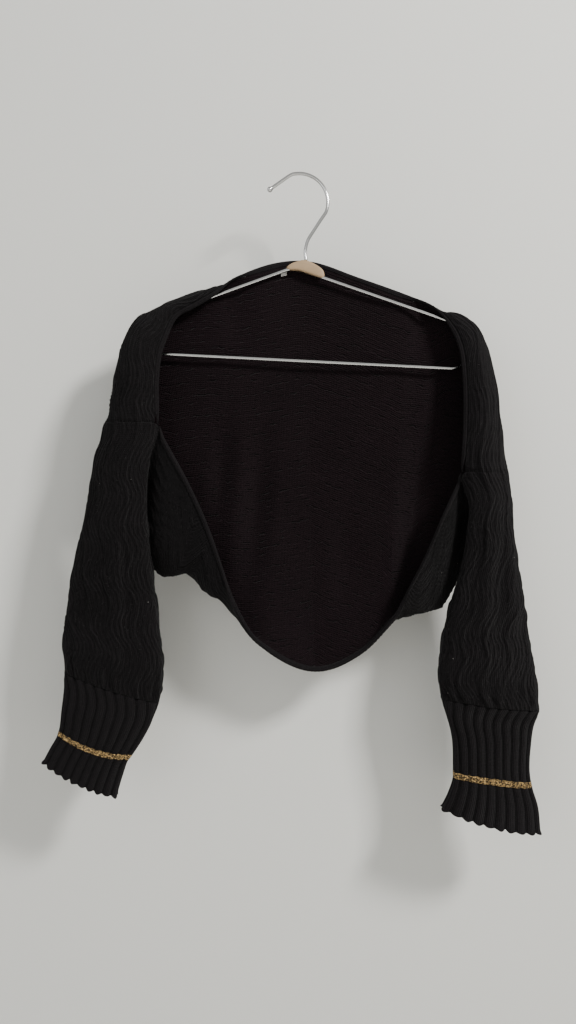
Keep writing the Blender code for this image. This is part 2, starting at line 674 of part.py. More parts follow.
def add_hanger_frame():
    """The hanger's closed loop of wire."""
    path = hanger_path()
    rings = wire_rings(path, np.full(len(path), WIRE / 2), closed=True)
    rows, columns = rings.shape[:2]
    faces = []
    for i in range(rows):
        m = (i + 1) % rows
        for j in range(columns):
            k = (j + 1) % columns
            faces.append((i * columns + j, i * columns + k, m * columns + k, m * columns + j))
    return add_object("hanger_frame", rings.reshape(-1, 3), faces, CHROME)


def add_hanger_saddle():
    """The beige piece that rides on the apex of the arms, under the foot of the hook."""
    x, rise = np.array(SADDLE_RISE).T
    smooth_x = np.linspace(x[0], x[-1], 15)
    rise = np.interp(smooth_x, x, rise)
    rounding = APEX_RADIUS * (1 / math.cos(math.radians(19.5)) - 1)
    near = np.clip(1 - np.abs(smooth_x - ARMS_APEX[0]) / (APEX_RADIUS * 0.34), 0, 1)
    low = arm_height(smooth_x) - rounding * near**2 + WIRE / 2 + SEAM_GAP
    half = SADDLE_DEPTH / 2
    corner = 1.0
    rings = []
    for px, bottom, height in zip(smooth_x, low, rise):
        top = bottom + height
        rings.append([
            (px, -half, bottom), (px, half, bottom), (px, half, top - corner),
            (px, half - corner, top), (px, -half + corner, top), (px, -half, top - corner),
        ])
    return add_object("hanger_saddle", *tube_mesh(np.array(rings)), BEIGE)


def add_hanger_hook():
    """The hook: from the apex up a short neck, over the crown and down to its ball end."""
    foot = (HOOK_FOOT[0], 0.0, HOOK_FOOT[1])
    neck = [(x, 0.0, z) for x, z in HOOK_NECK]
    crown = arc(HOOK_CENTRE, HOOK_RADIUS, -20, 104, 20)
    tip = (HOOK_TIP[0], 0.0, HOOK_TIP[1])
    path, length = spaced_curve([foot, *neck, *crown, tip], 46)
    from_end = np.linspace(length, 0, len(path))
    radii = np.full(len(path), WIRE / 2)
    ball = TIP_RADIUS
    in_ball = from_end < 2 * ball - 0.6
    radii[in_ball] = np.sqrt(np.maximum(ball**2 - (from_end[in_ball] - ball) ** 2, 0.25))
    rings = wire_rings(path, radii)
    return add_object("hanger_hook", *tube_mesh(rings), CHROME)


def add_neck_tab(panel):
    """The small white tab on the inside of the back neck."""
    rows = panel["centre"] + np.linspace(-30.5, -23.5, 3)
    around = np.interp(rows, panel["rows"], panel["around"])[:, None]
    down = np.linspace(13.0, 17.0, 3)[None, :]
    points, normals = read_panel(panel, rows, down / around)
    clear = WALL / 2 + SEAM_GAP
    front = points - normals * (clear + 0.6)
    back = points - normals * clear
    return add_object("neck_tab", *wall_mesh(back, front, wrap=False), WHITE_TAPE)


def clear_scene():
    """Removes what the scene holds at the start."""
    for found in list(bpy.data.objects):
        bpy.data.objects.remove(found, do_unlink=True)


def main():
    clear_scene()
    panel = build_panel()
    centre = panel["grid"][:, 0, 0]
    body = (panel["rows"] > panel["left"]) & (panel["rows"] < panel["right"])
    panel["centre"] = float(np.interp(HOOK_FOOT[0], centre[body], panel["rows"][body]))
    add_sleeve(panel, "sleeve_left", SLEEVE_TO_CUFF, panel["left"])
    for name, rows in zip(BODY_PIECES, body_spans(panel, body_rows(panel))):
        add_body(panel, name, rows)
    add_sleeve(panel, "sleeve_right", panel["right"], panel["rows"][-1] - SLEEVE_TO_CUFF)
    add_band(panel, "neck_band", at_hem=False)
    add_band(panel, "hem_band", at_hem=True)
    add_cuff(panel, "left")
    add_cuff(panel, "right")
    add_neck_tab(panel)
    add_hanger_frame()
    add_hanger_saddle()
    add_hanger_hook()


main()
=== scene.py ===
"""Visual model of a long-sleeved knitted shrug on a wire hanger.

The cloth is one panel knitted from cuff to cuff. SECTIONS gives its cross sections in order, and
the shells of the body and the sleeves are read from the loft through them. Sizes in the tables are
millimetres, +X to the right of someone facing the garment, +Y away from them and +Z up. The origin
is the underside of the hook's crown. Objects are built in metres.
"""

import functools
import math
from collections import namedtuple

import bmesh
import bpy
import numpy as np
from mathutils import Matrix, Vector


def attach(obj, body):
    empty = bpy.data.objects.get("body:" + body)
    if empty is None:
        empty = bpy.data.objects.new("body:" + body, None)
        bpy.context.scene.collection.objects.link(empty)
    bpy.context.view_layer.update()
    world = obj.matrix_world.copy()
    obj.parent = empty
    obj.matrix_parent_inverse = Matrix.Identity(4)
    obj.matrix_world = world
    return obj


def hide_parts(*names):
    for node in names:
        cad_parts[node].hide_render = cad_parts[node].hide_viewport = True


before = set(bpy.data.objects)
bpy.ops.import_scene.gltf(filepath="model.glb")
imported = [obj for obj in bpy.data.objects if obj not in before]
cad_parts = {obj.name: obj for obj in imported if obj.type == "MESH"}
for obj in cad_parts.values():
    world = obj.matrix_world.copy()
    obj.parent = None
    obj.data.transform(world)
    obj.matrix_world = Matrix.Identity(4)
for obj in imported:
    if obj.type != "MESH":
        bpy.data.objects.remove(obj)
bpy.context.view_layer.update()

bl_info = {
    "name": "Knitted shrug",
    "version": (1, 0, 0),
    "blender": (4, 5, 0),
    "location": "3D View > Sidebar > Shrug",
    "description": "Builds a ribbed, wavy-knitted shrug that hangs on a wire hanger",
    "category": "Add Mesh",
}

MM = 0.001

# How finely the shells are divided, in points or millimetres
FINE_ROUND = 240
FINE_STEP = 2.5
BODY_COLUMNS = 250
BODY_ROW = 4.0
SLEEVE_COLUMNS = 230
SLEEVE_ROW = 1.9
BAND_ROW = 1.7
CUFF_COLUMNS = 260
WIRE_SIDES = 18

# Places where the solids' walls end, in millimetres
WALL = 2.2
SEAM_GAP = 0.3
BAND_WIDTH = 8.0
FOLD_SOFTNESS = 4.5
BELLY_SHARE = 0.28
BELLY_MOST = 7.0
BACK_DRAWN_IN = 0.965
CUFF_SQUARENESS = 0.75
SLEEVE_TO_CUFF = 0.5
WIRE = 4.0
WIRE_STEP = 12.0
BAND_OVERLAP = 1.5
CUFF_ROUND = 300.0
RIBS_ROUND_CUFF = 20

Section = namedtuple("Section", "name edge front_y top back_y heel toe hem")

# edge is the seam or the front edge, top the outer or highest point, heel the low point of the back
# layer, toe the low point of the front layer, and hem the seam again or the hem. Each is X, Y, Z.
# front_y and back_y say where the two layers run between them.
SECTIONS = [
    Section("left_wrist", (-176, -14, -660), -26, (-293, -10, -622), 6, (-187, 2, -663), (-175, -8, -661), None),
    Section("left_puff", (-171, -16, -630), -31, (-294, -12, -592), 8, (-183, 2, -635), (-170, -8, -633), None),
    Section("left_forearm", (-177, -18, -554), -33, (-289, -12, -546), 8, (-190, 2, -559), (-176, -9, -555), None),
    Section("left_elbow", (-184, -20, -492), -34, (-281, -12, -490), 5, (-196, 0, -501), (-183, -12, -495), None),
    Section("left_upper", (-187, -23, -443), -36, (-269, -13, -441), 2, (-202, -4, -453), (-188, -15, -446), None),
    Section("left_under", (-186, -26, -394), -37, (-258, -13, -386), 1, (-209, -5, -412), (-192, -17, -401), None),
    Section("left_pit", (-181, -25, -350), -36, (-250, -12, -346), 4, (-214, -4, -385), (-194, -17, -368), None),
    Section("left_corner", (-173, -22, -317), -35, (-241, -10, -314), 7, (-216, 4, -384), (-193, -9, -361), None),
    Section("left_flap_1", (-172, -23, -292), -34, (-235, -9, -286), 9, (-207, 9, -409), (-192, -1, -395),
            (-167, -18, -331)),
    Section("left_flap_2", (-172, -23, -262), -32, (-230, -7, -250), 12, (-202, 12, -454), (-184, -5, -438),
            (-153, -20, -356)),
    Section("left_flap_3", (-169, -19, -228), -26, (-222, -3, -214), 13, (-194, 13, -488), (-167, -9, -471),
            (-138, -22, -383)),
    Section("left_shoulder", (-162, -15, -206), -19, (-207, 0, -182), 13, (-177, 13, -504), (-147, -12, -489),
            (-123, -23, -414)),
    Section("left_neck_1", (-151, -11, -182), -13, (-176, 1, -165), 12, (-147, 12, -494), (-127, -14, -496),
            (-108, -24, -450)),
    Section("left_neck_2", (-129, -9, -169), -10, (-140, 3, -150), 11, (-115, 8, -523), (-104, -16, -521),
            (-95, -24, -488)),
    Section("left_neck_3", (-102, -7, -151), -4, (-104, 4, -138), 10, (-84, 0, -549), (-78, -14, -548),
            (-78, -22, -540)),
    Section("left_neck_4", (-84, 1, -131), 3, (-85, 8, -129), 10, (-64, -3, -575), (-60, -13, -576),
            (-60, -18, -571)),
    Section("left_back", (-62, 7, -118), 8, (-62, 7, -118), 11, (-43, -6, -592), (-42, -10, -594), (-42, -12, -594)),
    Section("centre", (8, 8, -105), 8, (8, 8, -105), 12, (20, -2, -620), (20, -5, -622), (20, -6, -622)),
    Section("right_back", (77, 7, -127), 8, (77, 7, -127), 11, (79, -5, -597), (78, -9, -599), (78, -11, -599)),
    Section("right_neck_3", (140, 6, -150), 6, (139, 7, -148), 10, (115, -4, -559), (114, -14, -558),
            (115, -20, -555)),
    Section("right_neck_3b", (157, 0, -159), 2, (156, 7, -158), 11, (127, 2, -556), (121, -14, -553),
            (123, -22, -543)),
    Section("right_neck_2", (172, -5, -170), -5, (171, 5, -165), 11, (139, 7, -551), (128, -15, -547),
            (131, -23, -523)),
    Section("right_neck_1", (187, -12, -195), -13, (198, 2, -173), 12, (160, 10, -548), (146, -13, -540),
            (148, -24, -490)),
    Section("right_shoulder", (195, -15, -214), -17, (225, 0, -190), 13, (182, 12, -544), (164, -10, -531),
            (163, -23, -458)),
    Section("right_flap_3", (199, -18, -234), -23, (237, -3, -223), 13, (198, 13, -518), (182, -8, -508),
            (176, -22, -427)),
    Section("right_flap_2", (201, -22, -276), -30, (246, -6, -266), 12, (209, 12, -488), (194, -5, -478),
            (188, -20, -402)),
    Section("right_flap_1", (200, -24, -329), -34, (254, -8, -324), 9, (218, 9, -453), (204, -2, -442),
            (196, -18, -386)),
    Section("right_corner", (199, -22, -377), -36, (260, -10, -375), 7, (234, 5, -434), (216, -9, -412), None),
    Section("right_pit", (206, -26, -409), -37, (263, -12, -406), 5, (236, -2, -440), (219, -15, -423), None),
    Section("right_under", (204, -26, -451), -38, (266, -13, -447), 4, (232, -3, -471), (212, -16, -462), None),
    Section("right_upper", (197, -24, -494), -37, (272, -13, -490), 5, (221, -2, -511), (203, -14, -500), None),
    Section("right_elbow", (187, -21, -535), -35, (279, -12, -531), 8, (205, 2, -544), (189, -10, -538), None),
    Section("right_forearm", (177, -18, -581), -34, (286, -12, -580), 9, (191, 3, -590), (179, -8, -584), None),
    Section("right_puff", (173, -16, -628), -33, (296, -12, -637), 9, (186, 3, -635), (175, -8, -631), None),
    Section("right_wrist", (178, -14, -655), -30, (299, -12, -670), 8, (189, 3, -660), (178, -8, -656), None),
]

# How far the back layer of a section bows in towards the middle, above its low fold.
BACK_BOW = {"left_flap_1": 5.0, "left_flap_2": 8.0, "left_flap_3": 5.0}

CuffRing = namedtuple("CuffRing", "piece inner outer front_y back_y droop")

# Rings of the two ribbed cuffs, from the sleeve down. inner and outer are X, Z, and droop is how far
# the ring hangs down in the middle of its front.
CUFF_RINGS = {
    "left": [
        CuffRing("upper", (-182, -677), (-290, -640), -24, 4, 1),
        CuffRing("upper", (-191, -697), (-293, -668), -24, 4, 3),
        CuffRing("upper", (-207, -722), (-296, -693), -23, 3, 5),
        CuffRing("hem", (-213, -730), (-298, -700), -23, 3, 5),
        CuffRing("hem", (-221, -751), (-307, -716), -23, 3, 4),
        CuffRing("hem", (-228, -775), (-316, -733), -24, 3, 3),
    ],
    "right": [
        CuffRing("upper", (183, -671), (290, -683), -26, 5, 0),
        CuffRing("upper", (191, -700), (285, -712), -25, 4, 0),
        CuffRing("upper", (193, -744), (285, -756), -24, 3, -1),
        CuffRing("hem", (193, -753), (287, -765), -24, 3, 0),
        CuffRing("hem", (187, -773), (294, -788), -25, 4, 2),
        CuffRing("hem", (178, -791), (297, -820), -27, 5, 4),
    ],
}
Fold = namedtuple("Fold", "name top bottom depth half_width")

# Soft upright troughs in the hanging back: top and bottom are X, Z, and depth is towards the rear.
BACK_FOLDS = [
    Fold("left_trough", (-48, -330), (-62, -520), 9.5, 14.0),
    Fold("left_small_trough", (-92, -315), (-104, -440), 6.0, 11.0),
    Fold("right_trough", (158, -330), (138, -520), 8.5, 13.0),
    Fold("right_small_trough", (60, -420), (62, -560), 4.5, 16.0),
]

SleeveFold = namedtuple("SleeveFold", "start end share_start share_end height half_share")

# Long creases on the sleeves. start and end are distances along the panel as shares of its whole
# length, share_start and share_end are shares of the way round, and a height below 0 is a trough.
SLEEVE_FOLDS = [
    SleeveFold(0.03, 0.20, 0.12, 0.10, -3.0, 0.035),
    SleeveFold(0.02, 0.17, 0.26, 0.24, -3.0, 0.035),
    SleeveFold(0.05, 0.22, 0.19, 0.17, 2.5, 0.030),
    SleeveFold(0.78, 0.97, 0.33, 0.36, 4.0, 0.030),
    SleeveFold(0.80, 0.98, 0.24, 0.27, -3.0, 0.035),
    SleeveFold(0.79, 0.96, 0.10, 0.12, -2.5, 0.035),
    SleeveFold(0.04, 0.20, 0.60, 0.62, -3.0, 0.040),
    SleeveFold(0.80, 0.96, 0.60, 0.62, -3.0, 0.040),
]

SmallCrease = namedtuple("SmallCrease", "start end share_start share_end height half_width")

# Small creases in the shells alone. start, end and half_width are millimetres along and round the
# panel, share_start and share_end are shares of the way round, and a height below 0 is a trough.
SMALL_CREASES = [
    SmallCrease(20, 150, 0.16, 0.13, -1.6, 5),
    SmallCrease(15, 120, 0.30, 0.27, -1.5, 6),
    SmallCrease(60, 260, 0.09, 0.10, 1.4, 5),
    SmallCrease(40, 200, 0.36, 0.33, -1.4, 6),
]

# The hanger, in the plane Y = 0
HOOK_CENTRE = (0.0, -34.0)
HOOK_RADIUS = 36.0
HOOK_TIP = (-39.5, -20.0)
HOOK_NECK = [(7.8, -95.0), (11.0, -82.0), (18.0, -70.5), (26.5, -57.4)]
HOOK_FOOT = (8.4, -107.0)
ARMS_APEX = (-6.7, -116.0)
APEX_RADIUS = 30.0
ARM_REACH = {"left": 196.0, "right": 226.0}
ARM_SLOPE = {"left": 19.9, "right": 19.1}
END_RADIUS = {"left": 22.0, "right": 28.5}
SADDLE_DEPTH = 7.0
SADDLE_RISE = [(-16.0, 1.6), (-9.0, 4.4), (-2.6, 6.8), (4.0, 10.2), (8.6, 11.6), (15.0, 11.6), (21.0, 10.5), (32.0, 7.2)]
TIP_RADIUS = 3.4

def hermite_through(points, places, wanted, closed=False):
    """Reads a smooth curve through points, given at rising places, at the wanted places."""
    points = np.asarray(points, float)
    places = np.asarray(places, float)
    flat = points.reshape(len(points), -1)
    if closed:
        span = places[-1] - places[0]
        flat = np.vstack([flat[-2], flat, flat[1]])
        places = np.concatenate([[places[-2] - span], places, [places[1] + span]])
    steps = np.diff(places)
    slopes = np.diff(flat, axis=0) / steps[:, None]
    tangents = np.empty_like(flat)
    weight = steps[1:] / (steps[:-1] + steps[1:])
    tangents[1:-1] = slopes[:-1] * weight[:, None] + slopes[1:] * (1 - weight)[:, None]
    tangents[0] = slopes[0]
    tangents[-1] = slopes[-1]
    index = np.clip(np.searchsorted(places, wanted, side="right") - 1, 0, len(steps) - 1)
    h = steps[index][:, None]
    u = ((wanted - places[index]) / steps[index])[:, None]
    start = flat[index] * (2 * u**3 - 3 * u**2 + 1) + tangents[index] * h * (u**3 - 2 * u**2 + u)
    end = flat[index + 1] * (3 * u**2 - 2 * u**3) + tangents[index + 1] * h * (u**3 - u**2)
    return (start + end).reshape((len(wanted), *points.shape[1:]))


def spaced_curve(points, count, closed=False):
    """Reads count points, evenly spaced along it, from a smooth curve through the given points."""
    kept = [np.asarray(points[0], float)]
    for point in points[1:]:
        point = np.asarray(point, float)
        if np.linalg.norm(point - kept[-1]) > 4.0:
            kept.append(point)
    if closed:
        kept[-1] = kept[0] if np.linalg.norm(kept[-1] - kept[0]) < 8.0 else kept[-1]
        if kept[-1] is not kept[0]:
            kept.append(kept[0])
    kept = np.array(kept)
    root_steps = np.sqrt(np.linalg.norm(np.diff(kept, axis=0), axis=1))
    places = np.concatenate([[0.0], np.cumsum(root_steps)])
    dense = hermite_through(kept, places, np.linspace(0, places[-1], 600), closed)
    run = np.concatenate([[0.0], np.cumsum(np.linalg.norm(np.diff(dense, axis=0), axis=1))])
    wanted = np.linspace(0, run[-1], count)
    return np.stack([np.interp(wanted, run, dense[:, k]) for k in range(3)], axis=1), run[-1]


def unit(vector):
    """The vector with a length of 1."""
    return vector / np.linalg.norm(vector)


def section_curve(row):
    """Draws one section of the panel: evenly spaced points from its edge round to its hem."""
    edge, top, heel, toe = (np.array(p, float) for p in (row.edge, row.top, row.heel, row.toe))
    hem = edge if row.hem is None else np.array(row.hem, float)
    front = (edge + top) / 2
    front[1] = row.front_y
    upper_back = top + (heel - top) * 0.3
    upper_back[1] = row.back_y
    lower_back = top + (heel - top) * 0.7
    lower_back[1] = row.back_y
    if row.hem is not None:
        lower_back[0] *= BACK_DRAWN_IN
    bow = BACK_BOW.get(row.name, 0.0)
    upper_back[0] += bow * 0.5
    lower_back[0] += bow
    path = [edge, front, top, upper_back, lower_back, heel, toe]
    if row.hem is not None:
        rise = (toe + hem) / 2
        rise[1] = (toe[1] + hem[1]) / 2 - 2.0
        path.append(rise)
    spread = np.linalg.norm(heel - toe)
    if spread > 12.0:
        outwards = unit(heel - lower_back) + unit(toe - hem)
        belly = (heel + toe) / 2 + unit(outwards) * min(spread * BELLY_SHARE, BELLY_MOST)
        path.insert(6, belly)
    path.append(hem)
    return spaced_curve(path, FINE_ROUND + 1, closed=row.hem is None)


def soften(grid, sizes, reach, closed):
    """Smooths rows of points with a bell of the given reach along them. Open ends stay in place."""
    count = grid.shape[1] - 1
    result = grid.copy()
    for i, size in enumerate(sizes):
        sigma = reach / size * count
        span = int(4 * sigma) + 1
        bell = np.exp(-0.5 * (np.arange(-span, span + 1) / sigma) ** 2)
        bell /= bell.sum()
        line = grid[i]
        if closed[i]:
            padded = np.concatenate([line[:-1][-span:], line[:-1], line[:-1][:span + 1]])
        else:
            before = 2 * line[0] - line[1:span + 1][::-1]
            after = 2 * line[-1] - line[-span - 1:-1][::-1]
            padded = np.concatenate([before, line, after])
        for k in range(3):
            result[i, :, k] = np.convolve(padded[:, k], bell, mode="valid")[:count + 1]
    return result


def bump(distance, half_width):
    """A smooth hill: 1 at distance 0, and 0 from half_width outwards."""
    near = np.clip(1 - np.abs(distance) / half_width, 0, 1)
    return near * near * (3 - 2 * near)


def add_back_folds(grid):
    """Moves the hanging back rearwards along each trough, where the cloth is one free layer."""
    x, y, z = grid[..., 0], grid[..., 1], grid[..., 2]
    for fold in BACK_FOLDS:
        along = (fold.top[1] - z) / (fold.top[1] - fold.bottom[1])
        middle = fold.top[0] + (fold.bottom[0] - fold.top[0]) * np.clip(along, 0, 1)
        fade = bump(along - 0.5, 0.75)
        rear = np.clip((y - 2.0) / 6.0, 0, 1)
        y += fold.depth * rear * fade * bump(x - middle, 2 * fold.half_width)


def build_panel():
    """Lofts the whole panel: fine points and outward normals, rows along it and columns round it."""
    curves = []
    lengths = []
    for row in SECTIONS:
        points, length = section_curve(row)
        curves.append(points)
        lengths.append(length)
    curves = np.array(curves)
    gaps = np.linalg.norm(np.diff(curves, axis=0), axis=2).mean(axis=1)
    places = np.concatenate([[0.0], np.cumsum(gaps)])
    names = [row.name for row in SECTIONS]
    left = places[names.index("left_corner")]
    right = places[names.index("right_corner")]
    rows = np.linspace(0, places[-1], int(places[-1] / FINE_STEP) + 1)
    rows = np.unique(np.concatenate([rows, [left, right]]))
    grid = hermite_through(curves, places, rows)
    around = np.interp(rows, places, lengths)
    tube = (rows <= left) | (rows >= right)
    grid = soften(grid, around, FOLD_SOFTNESS, tube)
    first, last = (int(np.argmin(np.abs(rows - place))) for place in (left, right))
    body = grid[first:last + 1].transpose(1, 0, 2)
    size = np.full(FINE_ROUND + 1, right - left)
    grid[first:last + 1] = soften(body, size, FOLD_SOFTNESS, size < 0).transpose(1, 0, 2)
    add_back_folds(grid)
    along = np.gradient(grid, rows, axis=0)
    across = np.gradient(grid, axis=1)
    wrapped = grid[tube][:, 1] - grid[tube][:, -2]
    across[tube, 0] = wrapped / 2
    across[tube, -1] = wrapped / 2
    normals = np.cross(along, across)
    normals /= np.linalg.norm(normals, axis=2)[..., None]
    share = rows[:, None] / rows[-1]
    turn = np.linspace(0, 1, FINE_ROUND + 1)[None, :]
    for fold in SLEEVE_FOLDS:
        along_fold = (share - fold.start) / (fold.end - fold.start)
        middle = fold.share_start + (fold.share_end - fold.share_start) * along_fold
        height = fold.height * bump(along_fold - 0.5, 0.5) * bump(turn - middle, 2 * fold.half_share)
        grid = grid + normals * height[..., None]
    return {"grid": grid, "normals": normals, "rows": rows, "around": around, "left": left, "right": right}


def read_panel(panel, rows, shares):
    """Reads points and normals of the panel at rows along it and, for each row, shares round it."""
    fine_row = np.interp(rows, panel["rows"], np.arange(len(panel["rows"])))
    low = np.clip(fine_row.astype(int), 0, len(panel["rows"]) - 2)
    mix = (fine_row - low)[:, None, None]
    column = np.clip(shares, 0, 1) * FINE_ROUND
    first = np.clip(column.astype(int), 0, FINE_ROUND - 1)
    part = (column - first)[..., None]
    result = []
    for source in (panel["grid"], panel["normals"]):
        line = source[low] * (1 - mix) + source[low + 1] * mix
        index = np.arange(len(rows))[:, None]
        result.append(line[index, first] * (1 - part) + line[index, first + 1] * part)
    points, normals = result
    normals /= np.linalg.norm(normals, axis=2)[..., None]
    return points, normals


def oval_ring(inner, outer, front_y, back_y, droop, count):
    """One ring of a cuff: count points on an oval, a superellipse, from its inner point round its front."""
    angle = np.linspace(np.pi, 3 * np.pi, 401)
    centre = np.array([(inner[0] + outer[0]) / 2, (front_y + back_y) / 2, (inner[1] + outer[1]) / 2])
    half = np.array([(outer[0] - inner[0]) / 2, 0, (outer[1] - inner[1]) / 2])
    width = np.linalg.norm(half)
    depth = (back_y - front_y) / 2
    wide = np.sign(np.cos(angle)) * np.abs(np.cos(angle)) ** CUFF_SQUARENESS * width
    deep = np.sign(np.sin(angle)) * np.abs(np.sin(angle)) ** CUFF_SQUARENESS * depth
    run = np.concatenate([[0.0], np.cumsum(np.hypot(np.diff(wide), np.diff(deep)))])
    wanted = np.linspace(0, run[-1], count, endpoint=False)
    wide = np.interp(wanted, run, wide)
    deep = np.interp(wanted, run, deep)
    points = centre + half / width * wide[:, None]
    points[:, 1] += deep
    front = np.clip(-deep / depth, -1, 1)
    points[:, 2] -= droop * front * (1 - np.clip(np.abs(wide) / width, 0, 1) ** 2)
    return points


def arc(centre, radius, start, end, count):
    """Points along an arc in the plane Y = 0. Angles are in degrees from +X towards +Z."""
    angles = np.radians(np.linspace(start, end, count))
    zeros = np.zeros(count)
    return np.stack([centre[0] + radius * np.cos(angles), zeros, centre[1] + radius * np.sin(angles)], axis=1)


def wire_rings(path, radii, sides, closed=False):
    """Rings of points round a flat path in the plane Y = 0."""
    if closed:
        ahead = np.roll(path, -1, axis=0) - np.roll(path, 1, axis=0)
    else:
        ahead = np.gradient(path, axis=0)
    ahead /= np.linalg.norm(ahead, axis=1)[:, None]
    side = np.stack([ahead[:, 2], np.zeros(len(path)), -ahead[:, 0]], axis=1)
    angles = np.linspace(0, 2 * np.pi, sides, endpoint=False)
    rear = np.array([0.0, 1.0, 0.0])
    spread = side[:, None] * np.cos(angles)[None, :, None] + rear * np.sin(angles)[None, :, None]
    return path[:, None] + spread * np.asarray(radii)[:, None, None]


def arm_height(x):
    """The height of the wire's middle along the two sloping arms."""
    apex_x, apex_z = ARMS_APEX
    side = np.where(x < apex_x, math.tan(math.radians(ARM_SLOPE["left"])), math.tan(math.radians(ARM_SLOPE["right"])))
    return apex_z - np.abs(x - apex_x) * side


def hanger_path():
    """The middle of the hanger's closed loop: sloping arms, rounded ends and a straight bar."""
    apex_x, apex_z = ARMS_APEX
    ends = {}
    for side, sign in (("left", -1), ("right", 1)):
        slope = math.radians(ARM_SLOPE[side])
        reach = ARM_REACH[side] - END_RADIUS[side]
        drop = reach * math.tan(slope) + END_RADIUS[side] / math.cos(slope)
        ends[side] = (apex_x + sign * reach, apex_z - drop)
    mean_slope = math.radians((ARM_SLOPE["left"] + ARM_SLOPE["right"]) / 2)
    top = (apex_x, apex_z - APEX_RADIUS / math.cos(mean_slope))
    path = np.concatenate([
        arc(top, APEX_RADIUS, 90 + ARM_SLOPE["left"], 90 - ARM_SLOPE["right"], 13),
        arc(ends["right"], END_RADIUS["right"], 90 - ARM_SLOPE["right"], -90, 25),
        arc(ends["left"], END_RADIUS["left"], 270, 90 + ARM_SLOPE["left"], 25),
    ])
    spaced = []
    for first, second in zip(path, np.roll(path, -1, axis=0)):
        pieces = max(1, int(np.linalg.norm(second - first) // WIRE_STEP))
        for step in range(pieces):
            spaced.append(first + (second - first) * step / pieces)
    return np.array(spaced)


def smooth_step(value):
    """Goes from 0 to 1 without a kink as value goes from 0 to 1."""
    clipped = np.clip(value, 0, 1)
    return clipped * clipped * (3 - 2 * clipped)


@functools.lru_cache(maxsize=1)
def panel_loft():
    """The panel's fine loft, worked out once for all the pieces that read it."""
    return build_panel()


def outward_normals(grid, wrap):
    """Unit normals of a grid of points: the change along its rows crossed with the change along its columns."""
    along = np.gradient(grid, axis=0)
    if wrap:
        across = np.roll(grid, -1, axis=1) - np.roll(grid, 1, axis=1)
    else:
        across = np.gradient(grid, axis=1)
    normals = np.cross(along, across)
    return normals / np.linalg.norm(normals, axis=2)[..., None]


def shell(outer, inner, u, v, wrap):
    """Joins an outer and an inner grid into one closed wall, with a UV in metres for every corner.

    Corner (i, j) of the outer grid is point i * columns + j. The rims join the two grids' edges.
    u has one value for each row, v one for each row and column, plus a last column where it wraps.
    """
    rows, columns = outer.shape[:2]
    count = rows * columns
    last = columns if wrap else columns - 1
    i, j = (axis.ravel() for axis in np.meshgrid(np.arange(rows - 1), np.arange(last), indexing="ij"))
    step_i, step_j = np.array([0, 1, 1, 0]), np.array([0, 0, 1, 1])
    corner_i, corner_j = i[:, None] + step_i, j[:, None] + step_j
    front = corner_i * columns + corner_j % columns
    uv = np.stack([u[corner_i], v[corner_i, corner_j]], axis=2)
    quads = [front, front[:, ::-1] + count]
    maps = [uv, uv[:, ::-1]]
    j = np.arange(last)
    for row, turned in ((0, False), (rows - 1, True)):
        a, b = row * columns + j, row * columns + (j + 1) % columns
        rim = np.stack([a, b, b + count, a + count], axis=1)
        edge = np.stack([np.full(last, u[row]), v[row, j]], axis=1)
        quads.append(rim[:, ::-1] if turned else rim)
        maps.append(np.repeat(edge[:, None], 4, axis=1))
    if not wrap:
        i = np.arange(rows - 1)
        for column, turned in ((0, True), (columns - 1, False)):
            a, d = i * columns + column, (i + 1) * columns + column
            rim = np.stack([a, d, d + count, a + count], axis=1)
            edge = np.stack([u[i], v[i, column]], axis=1)
            quads.append(rim[:, ::-1] if turned else rim)
            maps.append(np.repeat(edge[:, None], 4, axis=1))
    points = np.concatenate([outer.reshape(-1, 3), inner.reshape(-1, 3)])
    return points, np.concatenate(quads), np.concatenate(maps)


def tube(rings, u=None, round_size=10.0, closed=False):
    """Joins rings of points into one closed tube, with flat caps or with its last ring joined to its first."""
    rows, columns = rings.shape[:2]
    last = rows if closed else rows - 1
    i, j = (axis.ravel() for axis in np.meshgrid(np.arange(last), np.arange(columns), indexing="ij"))
    step_i, step_j = np.array([0, 0, 1, 1]), np.array([0, 1, 1, 0])
    corner_i, corner_j = i[:, None] + step_i, j[:, None] + step_j
    quads = (corner_i % rows) * columns + corner_j % columns
    if u is None:
        steps = np.linalg.norm(np.roll(rings.mean(axis=1), -1, axis=0) - rings.mean(axis=1), axis=1)
        u = np.concatenate([[0.0], np.cumsum(steps)]) * MM
    uv = np.stack([u[corner_i], corner_j * round_size * MM / columns], axis=2).reshape(-1, 2)
    faces = quads.tolist()
    if not closed:
        faces.append(list(range(columns))[::-1])
        faces.append(list(range((rows - 1) * columns, rows * columns)))
        uv = np.concatenate([uv, np.zeros((2 * columns, 2))])
    return rings.reshape(-1, 3), faces, uv


def face_outwards(mesh):
    """Turns every face of a closed mesh so that its normal points out of it."""
    work = bmesh.new()
    work.from_mesh(mesh)
    bmesh.ops.recalc_face_normals(work, faces=work.faces[:])
    work.to_mesh(mesh)
    work.free()


